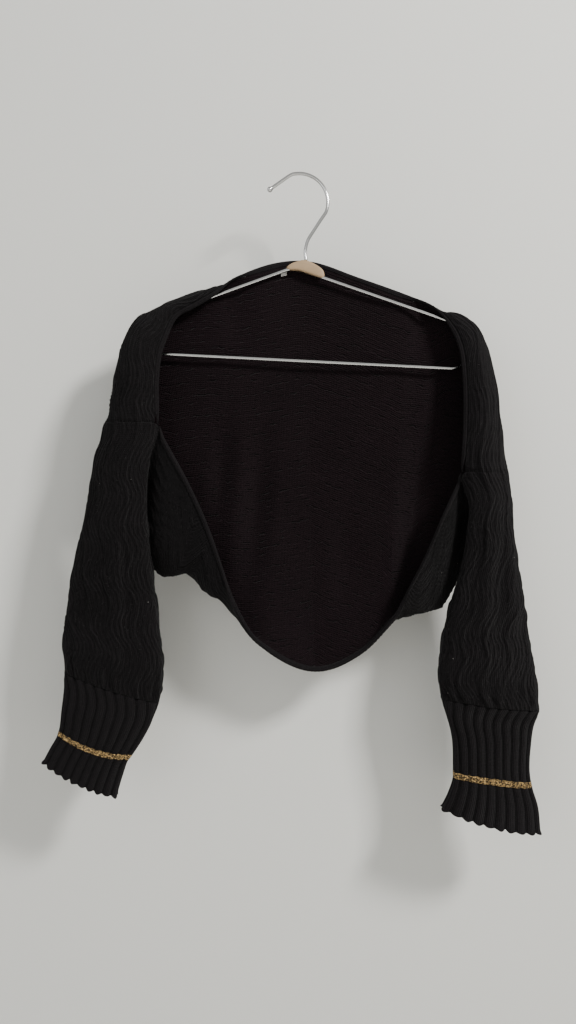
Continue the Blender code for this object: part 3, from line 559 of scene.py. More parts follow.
def add_piece(name, points, faces, uv, finish, node_slot, nodes=(), outwards=False, flat_rims=0, inside=None):
    """Puts a mesh, given in millimetres, into the scene at the origin, and rides it on the part.

    flat_rims is how many faces at the end of the list stay flat, so that the cloth beside a rim keeps
    its own shading and meets the next piece without a dark line. inside is a shell's inner finish.
    """
    mesh = bpy.data.meshes.new(name)
    mesh.from_pydata(np.asarray(points) * MM, [], faces)
    if uv is not None:
        layer = mesh.uv_layers.new(name="cloth")
        layer.uv.foreach_set("vector", np.ascontiguousarray(uv, dtype=np.float32).ravel())
    if outwards:
        face_outwards(mesh)
    mesh.shade_smooth()
    if flat_rims:
        smooth = np.ones(len(mesh.polygons), dtype=bool)
        smooth[-flat_rims:] = False
        mesh.polygons.foreach_set("use_smooth", smooth)
    mesh.materials.append(finish)
    if inside:
        mesh.materials.append(inside)
        side = np.zeros(len(mesh.polygons), dtype=np.int32)
        half = (len(side) - flat_rims) // 2
        side[half : 2 * half] = 1
        mesh.polygons.foreach_set("material_index", side)
    made = bpy.data.objects.new(name, mesh)
    bpy.context.scene.collection.objects.link(made)
    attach(made, "root")
    for node in nodes:
        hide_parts(node)
    return made


def wave_line(along, around, cloth):
    """How far round the panel a knitted line runs: its place less a sine swing along the panel.

    The swing grows and shrinks slowly along and round the cloth, and its turn drifts the same way.
    """
    strength = 0.7 + 0.3 * np.sin(along / 61.0 + around / 43.0)
    drift = 0.9 * np.sin(along / 97.0 - around / 57.0)
    turn = 2 * np.pi * along / (cloth.wave_length / MM) + drift
    return around - cloth.wave_swing / MM * strength * np.sin(turn)


def raised_lines(along, around, cloth):
    """Height of the wavy raised lines in millimetres.

    A line stands every ridge_spacing: its height is a narrow hill, a raised cosine to the eighth power,
    less a groove at each foot, the same cosine to the third power. It swells and fades along its run, by
    a slow sine that differs from line to line. Low lines run between, four to each spacing.
    """
    spacing = cloth.ridge_spacing / MM
    phase = wave_line(along, around, cloth) / spacing
    wave = 0.5 + 0.5 * np.cos(2 * np.pi * phase)
    hill = 1.25 * wave**8 - 0.45 * wave**3
    number = np.round(phase)
    swell = 0.72 + 0.28 * np.sin(along / 19.0 + 2.4 * number) * np.sin(along / 47.0 + 1.3 * number)
    shifted = phase + 0.06 * np.sin(along / 5.3 + 3.1 * number) + 0.05 * np.sin(along / 2.9 + around / 7.0)
    low = (0.5 + 0.5 * np.cos(8 * np.pi * shifted)) * (1 - wave**2)
    fading = np.clip(0.45 + 0.75 * np.sin(along / 17.0 + 1.9 * np.round(4 * phase)), 0, 1)
    return cloth.ridge_height / MM * (hill * swell + 0.36 * low**1.5 * fading)


def purl_dashes(along, around, cloth):
    """Height on the cloth's inner side, in millimetres: short wavy dashes along each line.

    A raised cosine across the lines to the fourth power, cut into dashes by a sine along them.
    """
    spacing = cloth.ridge_spacing / MM * 0.85
    phase = (around - 2.2 * np.sin(2 * np.pi * along / 31.0) - 1.1 * np.sin(along / 3.1)) / spacing
    number = np.round(phase)
    dash = smooth_step(0.45 + 1.2 * np.sin(along / 9.0 + 4.1 * number) + 0.6 * np.sin(along / 23.0 + number))
    wave = 0.5 + 0.5 * np.cos(2 * np.pi * phase)
    return (0.8 * wave**9 - 0.3 * wave**4) * dash


def small_creases(along, around, size):
    """Height of the small creases in millimetres: each is a hill across a straight run."""
    height = np.zeros(np.broadcast(along, around).shape)
    for crease in SMALL_CREASES:
        run = (along - crease.start) / (crease.end - crease.start)
        middle = (crease.share_start + (crease.share_end - crease.share_start) * run) * size
        height = height + crease.height * bump(run - 0.5, 0.5) * bump(around - middle, crease.half_width * 2)
    return height


def gathered_ends(along, share, total):
    """Puckers where each sleeve is gathered into its cuff, in millimetres.

    A cosine with sixteen waves round the sleeve, uneven from wave to wave, that rises and dies out
    within some 45 millimetres of the seam.
    """
    from_end = np.minimum(along, total - along)
    reach = np.clip(from_end / 9.0, 0, 1) * np.exp(-np.clip(from_end - 9.0, 0, None) / 17.0)
    turn = 2 * np.pi * share
    waves = np.cos(16 * turn + 1.1 * np.sin(3 * turn)) * (0.65 + 0.35 * np.sin(5 * turn + 0.8))
    return 1.9 * reach * waves


def cloth_grid(rows, shares, cloth, edge_fade):
    """Outer and inner points of the cloth at rows along the panel and shares round it."""
    panel = panel_loft()
    middle, normals = read_panel(panel, rows, shares)
    size = np.interp(rows, panel["rows"], panel["around"])[:, None]
    along = rows[:, None]
    around = shares * size
    from_edge = np.minimum(around, size - around)
    fade = smooth_step((from_edge - edge_fade) / 6.0)
    relief = raised_lines(along, around, cloth) * fade
    fold = small_creases(along, around, size) * fade + gathered_ends(along, shares, panel["rows"][-1])
    back = purl_dashes(along, around, cloth) * fade
    outer = middle + normals * (WALL / 2 + relief + fold)[..., None]
    inner = middle - normals * (WALL / 2 + back - fold)[..., None]
    return outer, inner, around


def build_body(cloth):
    """The body's shell: the panel between the two underarm points, from the neck band to the hem band."""
    panel = panel_loft()
    start, end = panel["left"], panel["right"]
    rows = np.linspace(start, end, int((end - start) / BODY_ROW) + 1)
    size = np.interp(rows, panel["rows"], panel["around"])[:, None]
    band = (BAND_WIDTH - BAND_OVERLAP) / size
    shares = band + (1 - 2 * band) * np.linspace(0, 1, BODY_COLUMNS)[None, :]
    outer, inner, around = cloth_grid(rows, shares, cloth, BAND_WIDTH)
    mesh = shell(outer, inner, rows * MM, around * MM, wrap=False)
    nodes = ["body_left", "body_shoulder_left", "body_neck_left", "body_back"]
    nodes += ["body_neck_right", "body_turn_right", "body_shoulder_right", "body_right"]
    rims = 2 * (len(rows) + BODY_COLUMNS - 2)
    finish, inside = knit_finish(), purl_finish()
    return add_piece("shrug_body", *mesh, finish, "black_knit", nodes, flat_rims=rims, inside=inside)


def build_sleeve(cloth, side):
    """One sleeve's shell, a closed tube with its seam at the inner edge."""
    panel = panel_loft()
    if side == "left":
        start, end = SLEEVE_TO_CUFF, panel["left"]
    else:
        start, end = panel["right"], panel["rows"][-1] - SLEEVE_TO_CUFF
    rows = np.linspace(start, end, int((end - start) / SLEEVE_ROW) + 1)
    turn = np.linspace(0, 1, SLEEVE_COLUMNS + 1)
    shares = np.repeat(turn[None, :], len(rows), axis=0)
    outer, inner, around = cloth_grid(rows, shares, cloth, 1.5)
    outer, inner = outer[:, :-1], inner[:, :-1]
    mesh = shell(outer, inner, rows * MM, around * MM, wrap=True)
    name, nodes, rims = f"shrug_sleeve_{side}", [f"sleeve_{side}"], 2 * SLEEVE_COLUMNS
    finish, inside = knit_finish(), purl_finish()
    return add_piece(name, *mesh, finish, "black_knit", nodes, flat_rims=rims, inside=inside)


def build_band(name, node, at_hem):
    """A rolled band: an oval carried along one edge of the opening, with small ribs across it.

    The oval's half thickness swells by a tenth as a cosine every 2.6 millimetres along the edge, and it
    narrows over the last stretch to each corner of the opening, by a smooth step.
    """
    panel = panel_loft()
    start, end = panel["left"] + 0.5, panel["right"] - 0.5
    rows = np.linspace(start, end, int((end - start) / BAND_ROW) + 1)
    size = np.interp(rows, panel["rows"], panel["around"])[:, None]
    angles = np.linspace(0, 2 * np.pi, 16, endpoint=False)
    width = BAND_WIDTH if at_hem else BAND_WIDTH * 0.8
    from_end = np.minimum(rows - start, end - rows)
    taper = (0.3 + 0.7 * smooth_step(from_end / 14.0))[:, None]
    shares = width / size * taper * (1 + np.cos(angles)) / 2
    points, normals = read_panel(panel, rows, 1 - shares if at_hem else shares)
    ribs = 1 + 0.1 * np.cos(2 * np.pi * rows / 2.6) + 0.05 * np.sin(rows / 7.3)
    thick = (2.9 if at_hem else 1.4) * taper * ribs[:, None] * np.sin(angles)
    rings = points + normals * thick[..., None]
    mesh = tube(rings, rows * MM, 20.0)
    return add_piece(name, *mesh, band_finish(), "black_rib", [node], outwards=True)


def cuff_grid(side):
    """Smooth middle surface of a cuff, from its wrist seam to its hem, without its ribs.

    Its rings are the panel's last section and six ovals, and a smooth curve is carried through them.
    """
    panel = panel_loft()
    place = panel["rows"][0] if side == "left" else panel["rows"][-1]
    turn = np.linspace(0, 1, CUFF_COLUMNS, endpoint=False)[None, :]
    rings = [read_panel(panel, np.array([place]), turn)[0][0]]
    rings += [oval_ring(*ring[1:], CUFF_COLUMNS) for ring in CUFF_RINGS[side]]
    rings = np.array(rings)
    steps = np.linalg.norm(np.diff(rings, axis=0), axis=2).mean(axis=1)
    places = np.concatenate([[0.0], np.cumsum(steps)])
    return rings, places


def build_cuff(cloth, side):
    """A ribbed cuff in three pieces: its upper part, its metallic stripe and its flared hem.

    Round the cuff a rib is a raised cosine to the power 0.7, less a narrow groove between two ribs. Near
    the hem each rib reaches further down, and the edge curls outwards over the last five millimetres.
    """
    rings, places = cuff_grid(side)
    parts = {
        "upper": (0.0, places[3] + 1.0, 2.6, cuff_finish, "black_rib"),
        "stripe": (places[3] + 1.1, places[4] - 0.9, 0.6, gold_finish, "gold_yarn"),
        "hem": (places[4] - 0.8, places[6], 1.7, cuff_finish, "black_rib"),
    }
    turn = np.arange(CUFF_COLUMNS) / CUFF_COLUMNS
    uneven = 1 + 0.12 * np.sin(2 * np.pi * turn * 7 + 0.9) + 0.08 * np.sin(2 * np.pi * turn * 11)
    wave = 0.5 - 0.5 * np.cos(2 * np.pi * RIBS_ROUND_CUFF * turn)
    rib = wave**0.8 * uneven - 0.3 * (1 - wave) ** 6
    for part, (start, end, step, finish, slot) in parts.items():
        rows = np.linspace(start, end, max(9, int((end - start) / step) + 1))
        grid = hermite_through(rings, places, rows)
        down = np.gradient(grid, axis=0)
        down /= np.linalg.norm(down, axis=2)[..., None]
        to_edge = places[6] - rows[:, None]
        lobes = smooth_step(1 - to_edge / 16.0) * (rib[None, :] - 0.5) * 1.7 * (uneven[None, :] ** 3)
        grid = grid + down * lobes[..., None]
        if side == "left":
            grid, rows, to_edge = grid[::-1], rows[::-1], to_edge[::-1]
        normals = outward_normals(grid, wrap=True)
        curl = np.clip(1 - to_edge / 5.0, 0, 1) ** 2 * 1.3
        height = cloth.rib_height / MM * rib[None, :] * np.clip(rows[:, None] / 8.0, 0.35, 1) + curl
        thick = WALL / 2
        if part == "stripe":
            lumps = np.cos(2 * np.pi * rows[:, None] / 2.2) * np.cos(2 * np.pi * turn * 90)[None, :]
            height = height + 0.2 + 0.3 * lumps
        outer = grid + normals * (thick + height - 0.4)[..., None]
        inner = grid - normals * (thick - 0.5 * height + 0.3)[..., None]
        run = CUFF_ROUND * np.append(turn, 1.0)
        v = np.repeat(run[None, :], len(rows), axis=0) * MM
        mesh = shell(outer, inner, rows * MM, v, wrap=True)
        add_piece(f"cuff_{side}_{part}_knit", *mesh, finish(), slot, [f"cuff_{side}_{part}"])


def rounded_ring(half_depth, low, high, count=24):
    """A rounded rectangle in depth and height: a superellipse with exponent 4 between low and high."""
    angles = np.linspace(0, 2 * np.pi, count, endpoint=False)
    deep = np.sign(np.cos(angles)) * np.abs(np.cos(angles)) ** 0.5 * half_depth
    tall = np.sign(np.sin(angles)) * np.abs(np.sin(angles)) ** 0.5
    middle, half = (low + high) / 2, (high - low) / 2
    return deep, middle + tall * half


def build_hanger():
    """The hanger's bent wire loop, its hook with a ball end, and the board saddle on its apex."""
    path = hanger_path()
    rings = wire_rings(path, np.full(len(path), WIRE / 2), WIRE_SIDES, closed=True)
    add_piece("wire_loop", *tube(rings, closed=True), chrome_finish(), "chrome_wire", ["hanger_frame"], outwards=True)
    foot = (HOOK_FOOT[0], 0.0, HOOK_FOOT[1])
    neck = [(x, 0.0, z) for x, z in HOOK_NECK]
    crown = arc(HOOK_CENTRE, HOOK_RADIUS, -20, 104, 20)
    tip = (HOOK_TIP[0], 0.0, HOOK_TIP[1])
    path, length = spaced_curve([foot, *neck, *crown, tip], 220)
    from_end = np.linspace(length, 0, len(path))
    bead = np.sqrt(np.clip(TIP_RADIUS**2 - (from_end - TIP_RADIUS) ** 2, 0.02, None))
    radii = np.where(from_end < 2 * TIP_RADIUS - 0.6, bead, WIRE / 2)
    rings = wire_rings(path, radii, WIRE_SIDES)
    add_piece("wire_hook", *tube(rings), chrome_finish(), "chrome_wire", ["hanger_hook"], outwards=True)
    x, rise = np.array(SADDLE_RISE).T
    fine_x = np.linspace(x[0], x[-1], 60)
    rise = hermite_through(rise[:, None], x, fine_x)[:, 0]
    rounding = APEX_RADIUS * (1 / math.cos(math.radians(19.5)) - 1)
    near = np.clip(1 - np.abs(fine_x - ARMS_APEX[0]) / (APEX_RADIUS * 0.34), 0, 1)
    low = arm_height(fine_x) - rounding * near**2 - WIRE / 2 * smooth_step((fine_x - x[0]) / 6.0)
    rise = rise + arm_height(fine_x) - rounding * near**2 + WIRE / 2 + SEAM_GAP - low
    end = np.sqrt(np.clip(1 - (np.linspace(-1, 1, 60) ** 12), 0.02, 1))
    rings = []
    for px, bottom, height, close in zip(fine_x, low, rise, end):
        deep, tall = rounded_ring(SADDLE_DEPTH / 2 * close, bottom + height * (1 - close) / 2,
                                  bottom + height * (1 + close) / 2)
        rings.append(np.stack([np.full(24, px), deep, tall], axis=1))
    add_piece("board_saddle", *tube(np.array(rings)), board_finish(), "beige_saddle", ["hanger_saddle"], outwards=True)


def build_tab():
    """The small bare white tab at the back neck: a curved slip with rounded edges."""
    panel = panel_loft()
    neck_x = panel["grid"][:, 0, 0]
    body = (panel["rows"] > panel["left"]) & (panel["rows"] < panel["right"])
    centre = float(np.interp(HOOK_FOOT[0], neck_x[body], panel["rows"][body]))
    rows = centre + np.linspace(-30.5, -23.5, 15)
    size = np.interp(rows, panel["rows"], panel["around"])[:, None]
    down = np.linspace(13.0, 17.0, 10)[None, :]
    points, normals = read_panel(panel, rows, down / size)
    clear = WALL / 2 + 2 * SEAM_GAP
    front = points - normals * (clear + 0.6)
    back = points - normals * clear
    mesh = shell(back, front, rows * MM, np.repeat(down, len(rows), axis=0) * MM, wrap=False)
    return add_piece("neck_tab_slip", *mesh, tape_finish(), "white_tape", ["neck_tab"])


def fibre_spots(count, seed):
    """Points and normals spread at random over the cloth's outer side."""
    panel = panel_loft()
    chance = np.random.default_rng(seed)
    rows = chance.uniform(2.0, panel["rows"][-1] - 2.0, count)
    shares = chance.uniform(0.02, 0.98, (count, 1))
    points, normals = read_panel(panel, rows, shares)
    return points[:, 0], normals[:, 0], chance


def build_fibres(count):
    """Loose fibres that stand off the cloth: each is a thin three-sided hair on a bent path.

    A hair leaves along the normal, and leans over sideways with the square of the way along it.
    """
    points, normals, chance = fibre_spots(count, 7)
    lean = np.cross(normals, chance.normal(size=(count, 3)))
    lean /= np.linalg.norm(lean, axis=1)[:, None]
    side = np.cross(normals, lean)
    length = chance.uniform(1.2, 4.2, count)[:, None]
    rings = []
    for step in np.linspace(0, 1, 5):
        middle = points + normals * (1.3 + length * step * 0.55) + lean * length * step**2
        width = 0.11 * (1 - 0.7 * step)
        turn = np.radians([90, 210, 330])
        ring = middle[:, None] + side[:, None] * np.cos(turn)[None, :, None] * width
        rings.append(ring + lean[:, None] * np.sin(turn)[None, :, None] * width)
    rings = np.stack(rings, axis=1)
    i, j = (axis.ravel() for axis in np.meshgrid(np.arange(4), np.arange(3), indexing="ij"))
    sides = np.stack([i * 3 + j, i * 3 + (j + 1) % 3, (i + 1) * 3 + (j + 1) % 3, (i + 1) * 3 + j], axis=1)
    shift = np.arange(count)[:, None, None] * 15
    faces = (sides[None] + shift).reshape(-1, 4).tolist()
    faces += (np.array([[2, 1, 0], [12, 13, 14]])[None] + shift).reshape(-1, 3).tolist()
    return add_piece("loose_fibres", rings.reshape(-1, 3), faces, None, fibre_finish(), "black_knit", outwards=True)


def build_lint(count):
    """Specks of pale lint caught in the knit: flat eight-sided flecks of uneven size."""
    points, normals, chance = fibre_spots(count, 21)
    first = np.cross(normals, chance.normal(size=(count, 3)))
    first /= np.linalg.norm(first, axis=1)[:, None]
    second = np.cross(normals, first)
    wide = chance.uniform(0.35, 0.8, (count, 1))
    centre = points + normals * 1.7
    corners = [first * wide, second * wide * 0.6, -first * wide, -second * wide * 0.7]
    rim = np.stack([centre + corner for corner in corners], axis=1)
    poles = np.stack([centre + normals * 0.3, centre - normals * 0.3], axis=1)
    faces = []
    for k in range(4):
        faces += [(k, (k + 1) % 4, 4), ((k + 1) % 4, k, 5)]
    faces = (np.array(faces)[None] + np.arange(count)[:, None, None] * 6).reshape(-1, 3).tolist()
    points = np.concatenate([rim, poles], axis=1).reshape(-1, 3)
    return add_piece("lint_flecks", points, faces, None, lint_finish(), "white_tape", outwards=True)


def socket_group(name, inputs, outputs):
    """An empty shader node group with named float, vector or colour sockets, and its two end nodes."""
    kinds = {"value": "NodeSocketFloat", "vector": "NodeSocketVector", "colour": "NodeSocketColor"}
    tree = bpy.data.node_groups.new(name, "ShaderNodeTree")
    for label, kind, start in inputs:
        made = tree.interface.new_socket(name=label, in_out="INPUT", socket_type=kinds[kind])
        if start is not None:
            made.default_value = start
    for label, kind in outputs:
        tree.interface.new_socket(name=label, in_out="OUTPUT", socket_type=kinds[kind])
    return tree, tree.nodes.new("NodeGroupInput"), tree.nodes.new("NodeGroupOutput")


def calculate(tree, operation, first, second=None, third=None):
    """Adds a Math node and returns its result. Each value is a number or another node's output."""
    node = tree.nodes.new("ShaderNodeMath")
    node.operation = operation
    for index, value in enumerate((first, second, third)):
        if value is None:
            continue
        if isinstance(value, (int, float)):
            node.inputs[index].default_value = value
        else:
            tree.links.new(value, node.inputs[index])
    return node.outputs[0]


def noise_value(tree, vector, scale, detail, stretch=(1, 1, 1)):
    """Adds a noise texture read at a vector stretched along each axis, and returns its value."""
    mapping = tree.nodes.new("ShaderNodeMapping")
    mapping.inputs["Scale"].default_value = stretch
    tree.links.new(vector, mapping.inputs["Vector"])
    noise = tree.nodes.new("ShaderNodeTexNoise")
    noise.inputs["Scale"].default_value = scale
    noise.inputs["Detail"].default_value = detail
    tree.links.new(mapping.outputs[0], noise.inputs["Vector"])
    return noise.outputs["Fac"]


def stitch_group():
    """Knitted stitches on a UV in metres: columns of V shapes.

    Across a column the height is a tent that peaks at its middle. Along it the height is a sine whose
    phase moves on with the distance from that middle, so each stitch is a V.
    """
    found = bpy.data.node_groups.get("knit stitches")
    if found:
        return found
    tree, start, end = socket_group(
        "knit stitches",
        [("Cloth", "vector", None), ("Column", "value", 0.002), ("Course", "value", 0.0016)],
        [("Height", "value"), ("Groove", "value")],
    )
    split = tree.nodes.new("ShaderNodeSeparateXYZ")
    tree.links.new(start.outputs["Cloth"], split.inputs[0])
    column = calculate(tree, "DIVIDE", split.outputs["Y"], start.outputs["Column"])
    part = calculate(tree, "FRACT", column)
    off = calculate(tree, "ABSOLUTE", calculate(tree, "SUBTRACT", part, 0.5))
    tent = calculate(tree, "SUBTRACT", 1.0, calculate(tree, "MULTIPLY", off, 2.0))
    course = calculate(tree, "DIVIDE", split.outputs["X"], start.outputs["Course"])
    turn = calculate(tree, "MULTIPLY", calculate(tree, "ADD", course, off), 2 * math.pi)
    loop = calculate(tree, "MULTIPLY_ADD", calculate(tree, "SINE", turn), 0.5, 0.5)
    height = calculate(tree, "MULTIPLY_ADD", loop, 0.4, calculate(tree, "MULTIPLY", tent, 0.6))
    tree.links.new(height, end.inputs["Height"])
    tree.links.new(calculate(tree, "SUBTRACT", 1.0, height), end.inputs["Groove"])
    return tree


def line_group():
    """Knitted lines along the cloth, on a UV in metres, broken up like small crumpled cables.

    The place across the cloth swings as a sine along it. Over that place lie a raised cosine, whose
    phase wanders with a noise, and a noise stretched along the cloth.
    """
    found = bpy.data.node_groups.get("knitted lines")
    if found:
        return found
    tree, start, end = socket_group(
        "knitted lines",
        [("Cloth", "vector", None), ("Spacing", "value", 0.0054), ("Wave", "value", 0.063), ("Swing", "value", 0.0045)],
        [("Height", "value")],
    )
    split = tree.nodes.new("ShaderNodeSeparateXYZ")
    tree.links.new(start.outputs["Cloth"], split.inputs[0])
    turn = calculate(tree, "MULTIPLY", calculate(tree, "DIVIDE", split.outputs["X"], start.outputs["Wave"]), 2 * math.pi)
    swing = calculate(tree, "MULTIPLY", calculate(tree, "SINE", turn), start.outputs["Swing"])
    across = calculate(tree, "SUBTRACT", split.outputs["Y"], swing)
    straight = tree.nodes.new("ShaderNodeCombineXYZ")
    tree.links.new(split.outputs["X"], straight.inputs["X"])
    tree.links.new(across, straight.inputs["Y"])
    wander = noise_value(tree, straight.outputs[0], 1.0, 2.0, (60, 90, 1))
    place = calculate(tree, "MULTIPLY_ADD", wander, 1.3, calculate(tree, "DIVIDE", across, start.outputs["Spacing"]))
    wave = calculate(tree, "COSINE", calculate(tree, "MULTIPLY", place, 2 * math.pi))
    hill = calculate(tree, "POWER", calculate(tree, "MULTIPLY_ADD", wave, 0.5, 0.5), 2.0)
    crumple = noise_value(tree, straight.outputs[0], 1.0, 3.0, (150, 300, 1))
    patch = noise_value(tree, straight.outputs[0], 1.0, 1.0, (25, 40, 1))
    lines = calculate(tree, "MULTIPLY", hill, calculate(tree, "MULTIPLY_ADD", patch, 1.6, -0.3))
    height = calculate(tree, "MULTIPLY_ADD", crumple, 1.1, calculate(tree, "MULTIPLY", lines, 0.95))
    tree.links.new(calculate(tree, "ADD", height, -0.5), end.inputs["Height"])
    return tree


def dash_group():
    """Short wavy purl dashes in rows along the cloth's inner side, on a UV in metres.

    Across a row the height is a raised cosine to the tenth power with a groove beside it. A noise along
    the row cuts it into dashes, and another makes the row wander.
    """
    found = bpy.data.node_groups.get("purl dashes")
    if found:
        return found
    tree, start, end = socket_group(
        "purl dashes", [("Cloth", "vector", None), ("Spacing", "value", 0.0085)], [("Height", "value")]
    )
    split = tree.nodes.new("ShaderNodeSeparateXYZ")
    tree.links.new(start.outputs["Cloth"], split.inputs[0])
    wander = noise_value(tree, start.outputs["Cloth"], 1.0, 2.0, (110, 50, 1))
    place = calculate(tree, "MULTIPLY_ADD", wander, 1.1, calculate(tree, "DIVIDE", split.outputs["Y"], start.outputs["Spacing"]))
    hills = []
    for shift in (0.0, 0.07):
        angle = calculate(tree, "MULTIPLY", calculate(tree, "ADD", place, shift), 2 * math.pi)
        wave = calculate(tree, "MULTIPLY_ADD", calculate(tree, "COSINE", angle), 0.5, 0.5)
        hills.append(calculate(tree, "POWER", wave, 9.0))
    dash = calculate(tree, "MULTIPLY_ADD", noise_value(tree, start.outputs["Cloth"], 1.0, 1.0, (90, 75, 1)), 5.0, -2.3)
    limited = tree.nodes.new("ShaderNodeClamp")
    tree.links.new(dash, limited.inputs["Value"])
    line = calculate(tree, "SUBTRACT", hills[0], hills[1])
    tree.links.new(calculate(tree, "MULTIPLY", line, limited.outputs[0]), end.inputs["Height"])
    return tree


def fluff_group():
    """Yarn fluff: broad soft patches and fine hairs, from two noises on Object coordinates."""
    found = bpy.data.node_groups.get("yarn fluff")
    if found:
        return found
    tree, start, end = socket_group(
        "yarn fluff", [("Place", "vector", None)], [("Patch", "value"), ("Hair", "value")]
    )
    patch = noise_value(tree, start.outputs["Place"], 9.0, 3.0)
    hair = noise_value(tree, start.outputs["Place"], 620.0, 4.0)
    tree.links.new(patch, end.inputs["Patch"])
    tree.links.new(hair, end.inputs["Hair"])
    return tree


def place_group(tree, group, links, values=None):
    """Puts a group into a material's tree, links its inputs and sets its plain values."""
    node = tree.nodes.new("ShaderNodeGroup")
    node.node_tree = group
    for label, source in links.items():
        tree.links.new(source, node.inputs[label])
    for label, value in (values or {}).items():
        node.inputs[label].default_value = value
    return node


def blend_colours(tree, factor, dark, light):
    """Adds a colour ramp from dark to light over the factor, and returns its colour."""
    ramp = tree.nodes.new("ShaderNodeValToRGB")
    ramp.color_ramp.elements[0].color = (*dark, 1)
    ramp.color_ramp.elements[1].color = (*light, 1)
    tree.links.new(factor, ramp.inputs[0])
    return ramp.outputs["Color"]


def bump_normal(tree, height, distance, strength=1.0, normal=None):
    """Adds a Bump node over a height and returns its normal. Distance is in metres."""
    node = tree.nodes.new("ShaderNodeBump")
    node.inputs["Distance"].default_value = distance
    node.inputs["Strength"].default_value = strength
    tree.links.new(height, node.inputs["Height"])
    if normal is not None:
        tree.links.new(normal, node.inputs["Normal"])
    return node.outputs["Normal"]


def new_finish(name, roughness, metallic=0.0):
    """A new Principled material. Returns the material, its node tree, its shader and both coordinates."""
    made = bpy.data.materials.new(name)
    made.use_nodes = True
    tree = made.node_tree
    shader = tree.nodes["Principled BSDF"]
    shader.inputs["Roughness"].default_value = roughness
    shader.inputs["Metallic"].default_value = metallic
    place = tree.nodes.new("ShaderNodeTexCoord")
    cloth = tree.nodes.new("ShaderNodeUVMap")
    cloth.uv_map = "cloth"
    return made, tree, shader, place.outputs["Object"], cloth.outputs["UV"]


def yarn_finish(name, colour, stitch, depth, lines=0.0, dashes=0.0, grooves=None):
    """Matt knitted yarn: stitches, fluff and relief in its bump, and the same relief painted into its colour: a painted
    highlight on the hills and painted shade in the grooves.

    stitch is a column's and a course's width in metres, lines and dashes how much each kind of relief
    shows, and grooves the distance between the grooves of a rib, or None.
    """
    found = bpy.data.materials.get(name)
    if found:
        return found
    made, tree, shader, place, cloth = new_finish(name, 0.95)
    column, course = stitch
    stitches = place_group(tree, stitch_group(), {"Cloth": cloth}, {"Column": column, "Course": course})
    fluff = place_group(tree, fluff_group(), {"Place": place})
    relief = calculate(tree, "MULTIPLY", stitches.outputs["Height"], 0.5)
    if lines:
        ribs = place_group(tree, line_group(), {"Cloth": cloth})
        relief = calculate(tree, "MULTIPLY_ADD", ribs.outputs["Height"], lines, relief)
    if dashes:
        rows = place_group(tree, dash_group(), {"Cloth": cloth})
        relief = calculate(tree, "MULTIPLY_ADD", rows.outputs["Height"], dashes, relief)
    # Painted shade: a rib's groove lowers the relief, which darkens the colour as well as the bump.
    if grooves:
        split = tree.nodes.new("ShaderNodeSeparateXYZ")
        tree.links.new(cloth, split.inputs[0])
        turn = calculate(tree, "MULTIPLY", split.outputs["Y"], 2 * math.pi / grooves)
        dip = calculate(tree, "MULTIPLY_ADD", calculate(tree, "COSINE", turn), 0.5, 0.5)
        relief = calculate(tree, "MULTIPLY_ADD", calculate(tree, "POWER", dip, 3.0), -0.4, relief)
    patch = calculate(tree, "MULTIPLY_ADD", fluff.outputs["Patch"], 0.35, -0.22)
    speck = calculate(tree, "MULTIPLY_ADD", fluff.outputs["Hair"], 1.0, calculate(tree, "ADD", patch, -0.12))
    # Painted light: the relief turns the colour paler on its hills, a painted sheen highlight, and darker in its
    # grooves, painted shade. The fluff speck adds random tone. The ramp runs from 0.12 to 2.1 times the yarn's colour.
    painted_light_and_tone = calculate(tree, "MULTIPLY_ADD", relief, 0.75, speck)
    dark = tuple(0.12 * c for c in colour)
    light = tuple(2.1 * c for c in colour)
    tree.links.new(blend_colours(tree, painted_light_and_tone, dark, light), shader.inputs["Base Color"])
    fine = bump_normal(tree, fluff.outputs["Hair"], 0.0009, 0.7)
    tree.links.new(bump_normal(tree, relief, depth, 1.0, fine), shader.inputs["Normal"])
    shader.inputs["Specular IOR Level"].default_value = 0.08
    shader.inputs["Sheen Weight"].default_value = 0.03
    shader.inputs["Sheen Roughness"].default_value = 0.5
    return made


def knit_finish():
    """The outer side of the fine black knit."""
    colour = bpy.context.scene.shrug_colours.cloth_colour
    return yarn_finish("black_fine_knit", tuple(colour), (0.0022, 0.0017), 0.0022, lines=0.9)


def purl_finish():
    """The inner side of the fine knit: rounder purl stitches, with dashes, and a little browner."""
    colour = bpy.context.scene.shrug_colours.cloth_colour
    warm = (1.42 * colour[0], 0.92 * colour[1], 1.06 * colour[2])
    return yarn_finish("black_purl_side", warm, (0.0026, 0.0021), 0.0024, lines=0.15, dashes=1.4)


def band_finish():
    """The rolled bands' black rib, painted 1.6 times paler than the cloth all over: a painted highlight where the
    rolled edge catches the light.
    """
    colour = bpy.context.scene.shrug_colours.cloth_colour
    # Painted highlight: the band's colour is 1.6 times the cloth's.
    return yarn_finish("black_rolled_band", tuple(1.6 * c for c in colour), (0.0026, 0.0019), 0.0012)


def cuff_finish():
    """The cuffs' black rib, with a groove on each side of every rib, cut into the bump and painted darker as painted
    shade.
    """
    colour = bpy.context.scene.shrug_colours.cloth_colour
    grooves = CUFF_ROUND / RIBS_ROUND_CUFF * MM
    return yarn_finish("black_ribbed_cuff", tuple(1.7 * c for c in colour), (0.0026, 0.0019), 0.0024, grooves=grooves)


